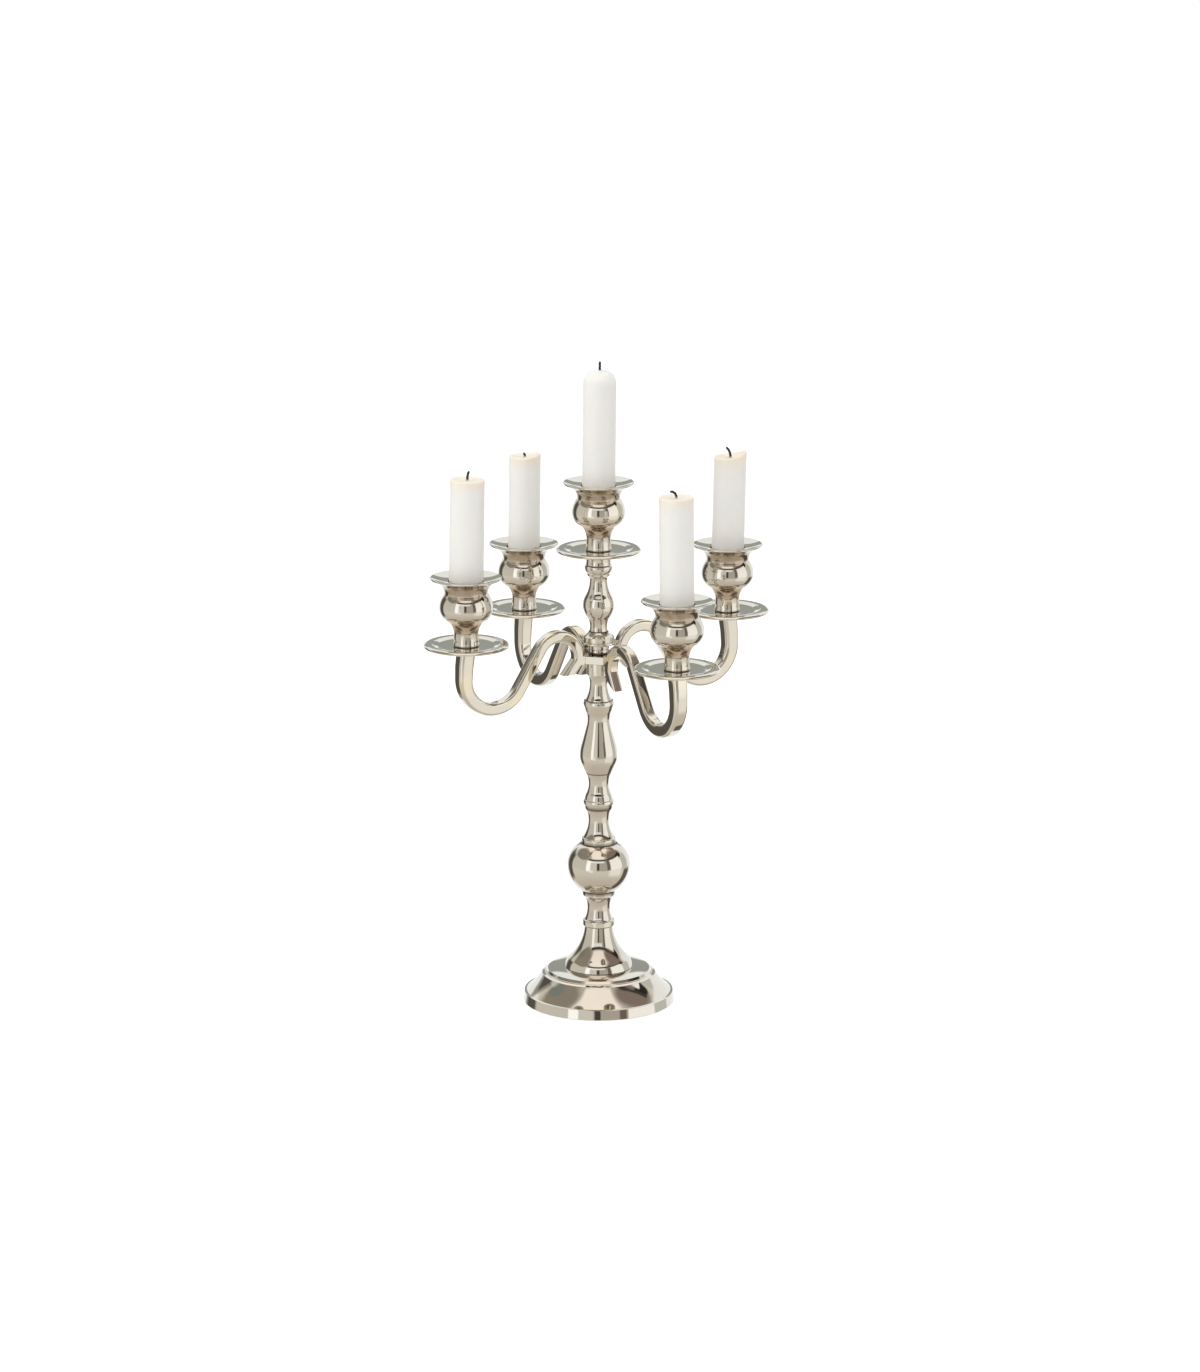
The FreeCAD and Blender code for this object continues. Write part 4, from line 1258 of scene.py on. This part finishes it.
def paint_room():
    world = bpy.data.worlds.new("room")
    bpy.context.scene.world = world
    room = Finish(world)
    gaze = room.add("TexCoord", output="Generated")
    toward = room.add("VectorMath", {"operation": "DOT_PRODUCT"}, {0: gaze, 1: toward_camera}, "Value")
    across = room.add("VectorMath", {"operation": "DOT_PRODUCT"}, {0: gaze, 1: to_the_right}, "Value")
    up = room.add("SeparateXYZ", {}, {"Vector": gaze}, "Z")
    bearing = room.add("Math", {"operation": "ARCTAN2"}, {0: across, 1: toward}) * degrees(1)
    height = room.add("Math", {"operation": "ARCSINE"}, {0: up}) * degrees(1)
    table = room.mix(colour(0.66, 0.60, 0.52), colour(0.77, 0.73, 0.66), room.ease(height, -62, -14))
    seen = room.mix(table, colour(0.56, 0.52, 0.47), room.ease(height, 28, 44))
    for what, tone, middle, half_size in ceiling_ovals:
        aside = (bearing - middle[0]) * (1 / half_size[0])
        above = (height - middle[1]) * (1 / half_size[1])
        seen = room.mix(seen, colour(*tone), room.ease(aside * aside + above * above, 0.6, 1.3, 1.0, 0.0))
    for what, tone, bearings, heights, soft in room_views:
        share = mask(room, bearing, *bearings, soft) * mask(room, height, *heights, soft)
        seen = room.mix(seen, colour(*tone), share)
    strip = mask(room, across, -0.38, 0.34, 0.05) * room.ease(height, 40, 46)
    seen = room.mix(seen, colour(1.16, 1.08, 1.02), strip)
    rays = {name: room.add("LightPath", output=name)
            for name in ("Is Camera Ray", "Is Glossy Ray", "Is Transmission Ray")}
    even = colour(0.75, 0.75, 0.745)
    shown = room.mix(even, seen, rays["Is Glossy Ray"])
    shown = room.mix(shown, colour(1, 1, 1), rays["Is Camera Ray"] + rays["Is Transmission Ray"])
    light = room.add("Background", {}, {"Color": shown, "Strength": 1.0})
    room.add("OutputWorld", {}, {"Surface": light})


paint_room()
print(len(room_views), "parts of the room painted")

# %% [markdown]
# ## Floor, lamps and camera
#
# The floor is a wide pale sheet. The camera sees it lit just past white, so it joins the background
# without a line, while the shade under the foot stays. Two large soft lamps lift the light on the
# left and from above. Floor and lamps are kept out of the metal's reflections, which the painted
# room gives.

# %% Floor
def floor_paper():
    finish = Finish(bpy.data.materials.new("floor_paper"))
    spot = finish.spot()
    fibres = finish.clouds(spot, 3 * mm, 3.0)
    tone = finish.mix(colour(0.93, 0.925, 0.91), colour(0.95, 0.945, 0.93), fibres)
    sheet = finish.add("BsdfDiffuse", {}, {"Color": tone})
    glow = finish.add("Emission", {}, {"Color": colour(1, 1, 1), "Strength": 0.42})
    lit = finish.add("AddShader", {}, {0: sheet, 1: glow})
    camera_ray = finish.add("LightPath", output="Is Camera Ray")
    shader = finish.add("MixShader", {}, {0: camera_ray, 1: sheet, 2: lit})
    finish.add("OutputMaterial", {}, {"Surface": shader})
    return finish.owner


floor = fresh("floor", bpy.ops.mesh.primitive_plane_add, size=60, location=(0, 0, cad_box[0].z))
settle(floor)
put_finish(floor, floor_paper())
floor.visible_glossy = False
print("floor at", round(cad_box[0].z / mm, 2), "mm")


# %% Lamps
def soft_lamp(name, bearing, height, distance, size, power):
    """A square lamp that faces the middle of the candelabra."""
    middle = (cad_box[0] + cad_box[1]) / 2
    angle = camera_side + radians(bearing)
    away = Vector((sin(angle) * cos(height), -cos(angle) * cos(height), sin(height)))
    lamp = fresh(name, bpy.ops.object.light_add, type="AREA", location=middle + away * distance)
    lamp.rotation_euler = away.to_track_quat("Z", "Y").to_euler()
    lamp.data.size = size
    lamp.data.energy = power
    lamp.visible_glossy = False


soft_lamp("lamp_left", -62, radians(34), 1.9, 1.5, 7.5)
soft_lamp("lamp_above", 20, radians(78), 1.8, 1.6, 7)
print("lamps hung")

# %% [markdown]
# The camera stands to the left of the front arm, more than three metres off and a metre up, well
# over the candles. It is tipped down fourteen degrees and has a long lens, so the pans are seen as
# narrow ovals.

# %% Camera
camera_distance = 3.2534
camera_aside = 0.0009
camera_height = 1.0291
camera_tip = 0.2451
camera_lens = 133.56

camera = fresh("camera", bpy.ops.object.camera_add)
camera.location = (camera_distance * toward_camera[0] + camera_aside * to_the_right[0],
                   camera_distance * toward_camera[1] + camera_aside * to_the_right[1], camera_height)
camera.rotation_euler = (pi / 2 - camera_tip, 0, camera_side)
camera.data.sensor_width = 36
camera.data.lens = camera_lens
camera.data.clip_end = 200
bpy.context.scene.camera = camera
bpy.context.scene.view_settings.view_transform = "Standard"
print("camera", round(camera.data.lens, 1), "mm lens at", [round(value, 2) for value in camera.location])

# %% [markdown]
# ## Last measure
#
# The construction's box is printed, in millimetres. The dressed model must stay inside
# the construction's box.

# %% Print the construction's box
print("construction", [[round(value / mm, 2) for value in corner] for corner in cad_box])
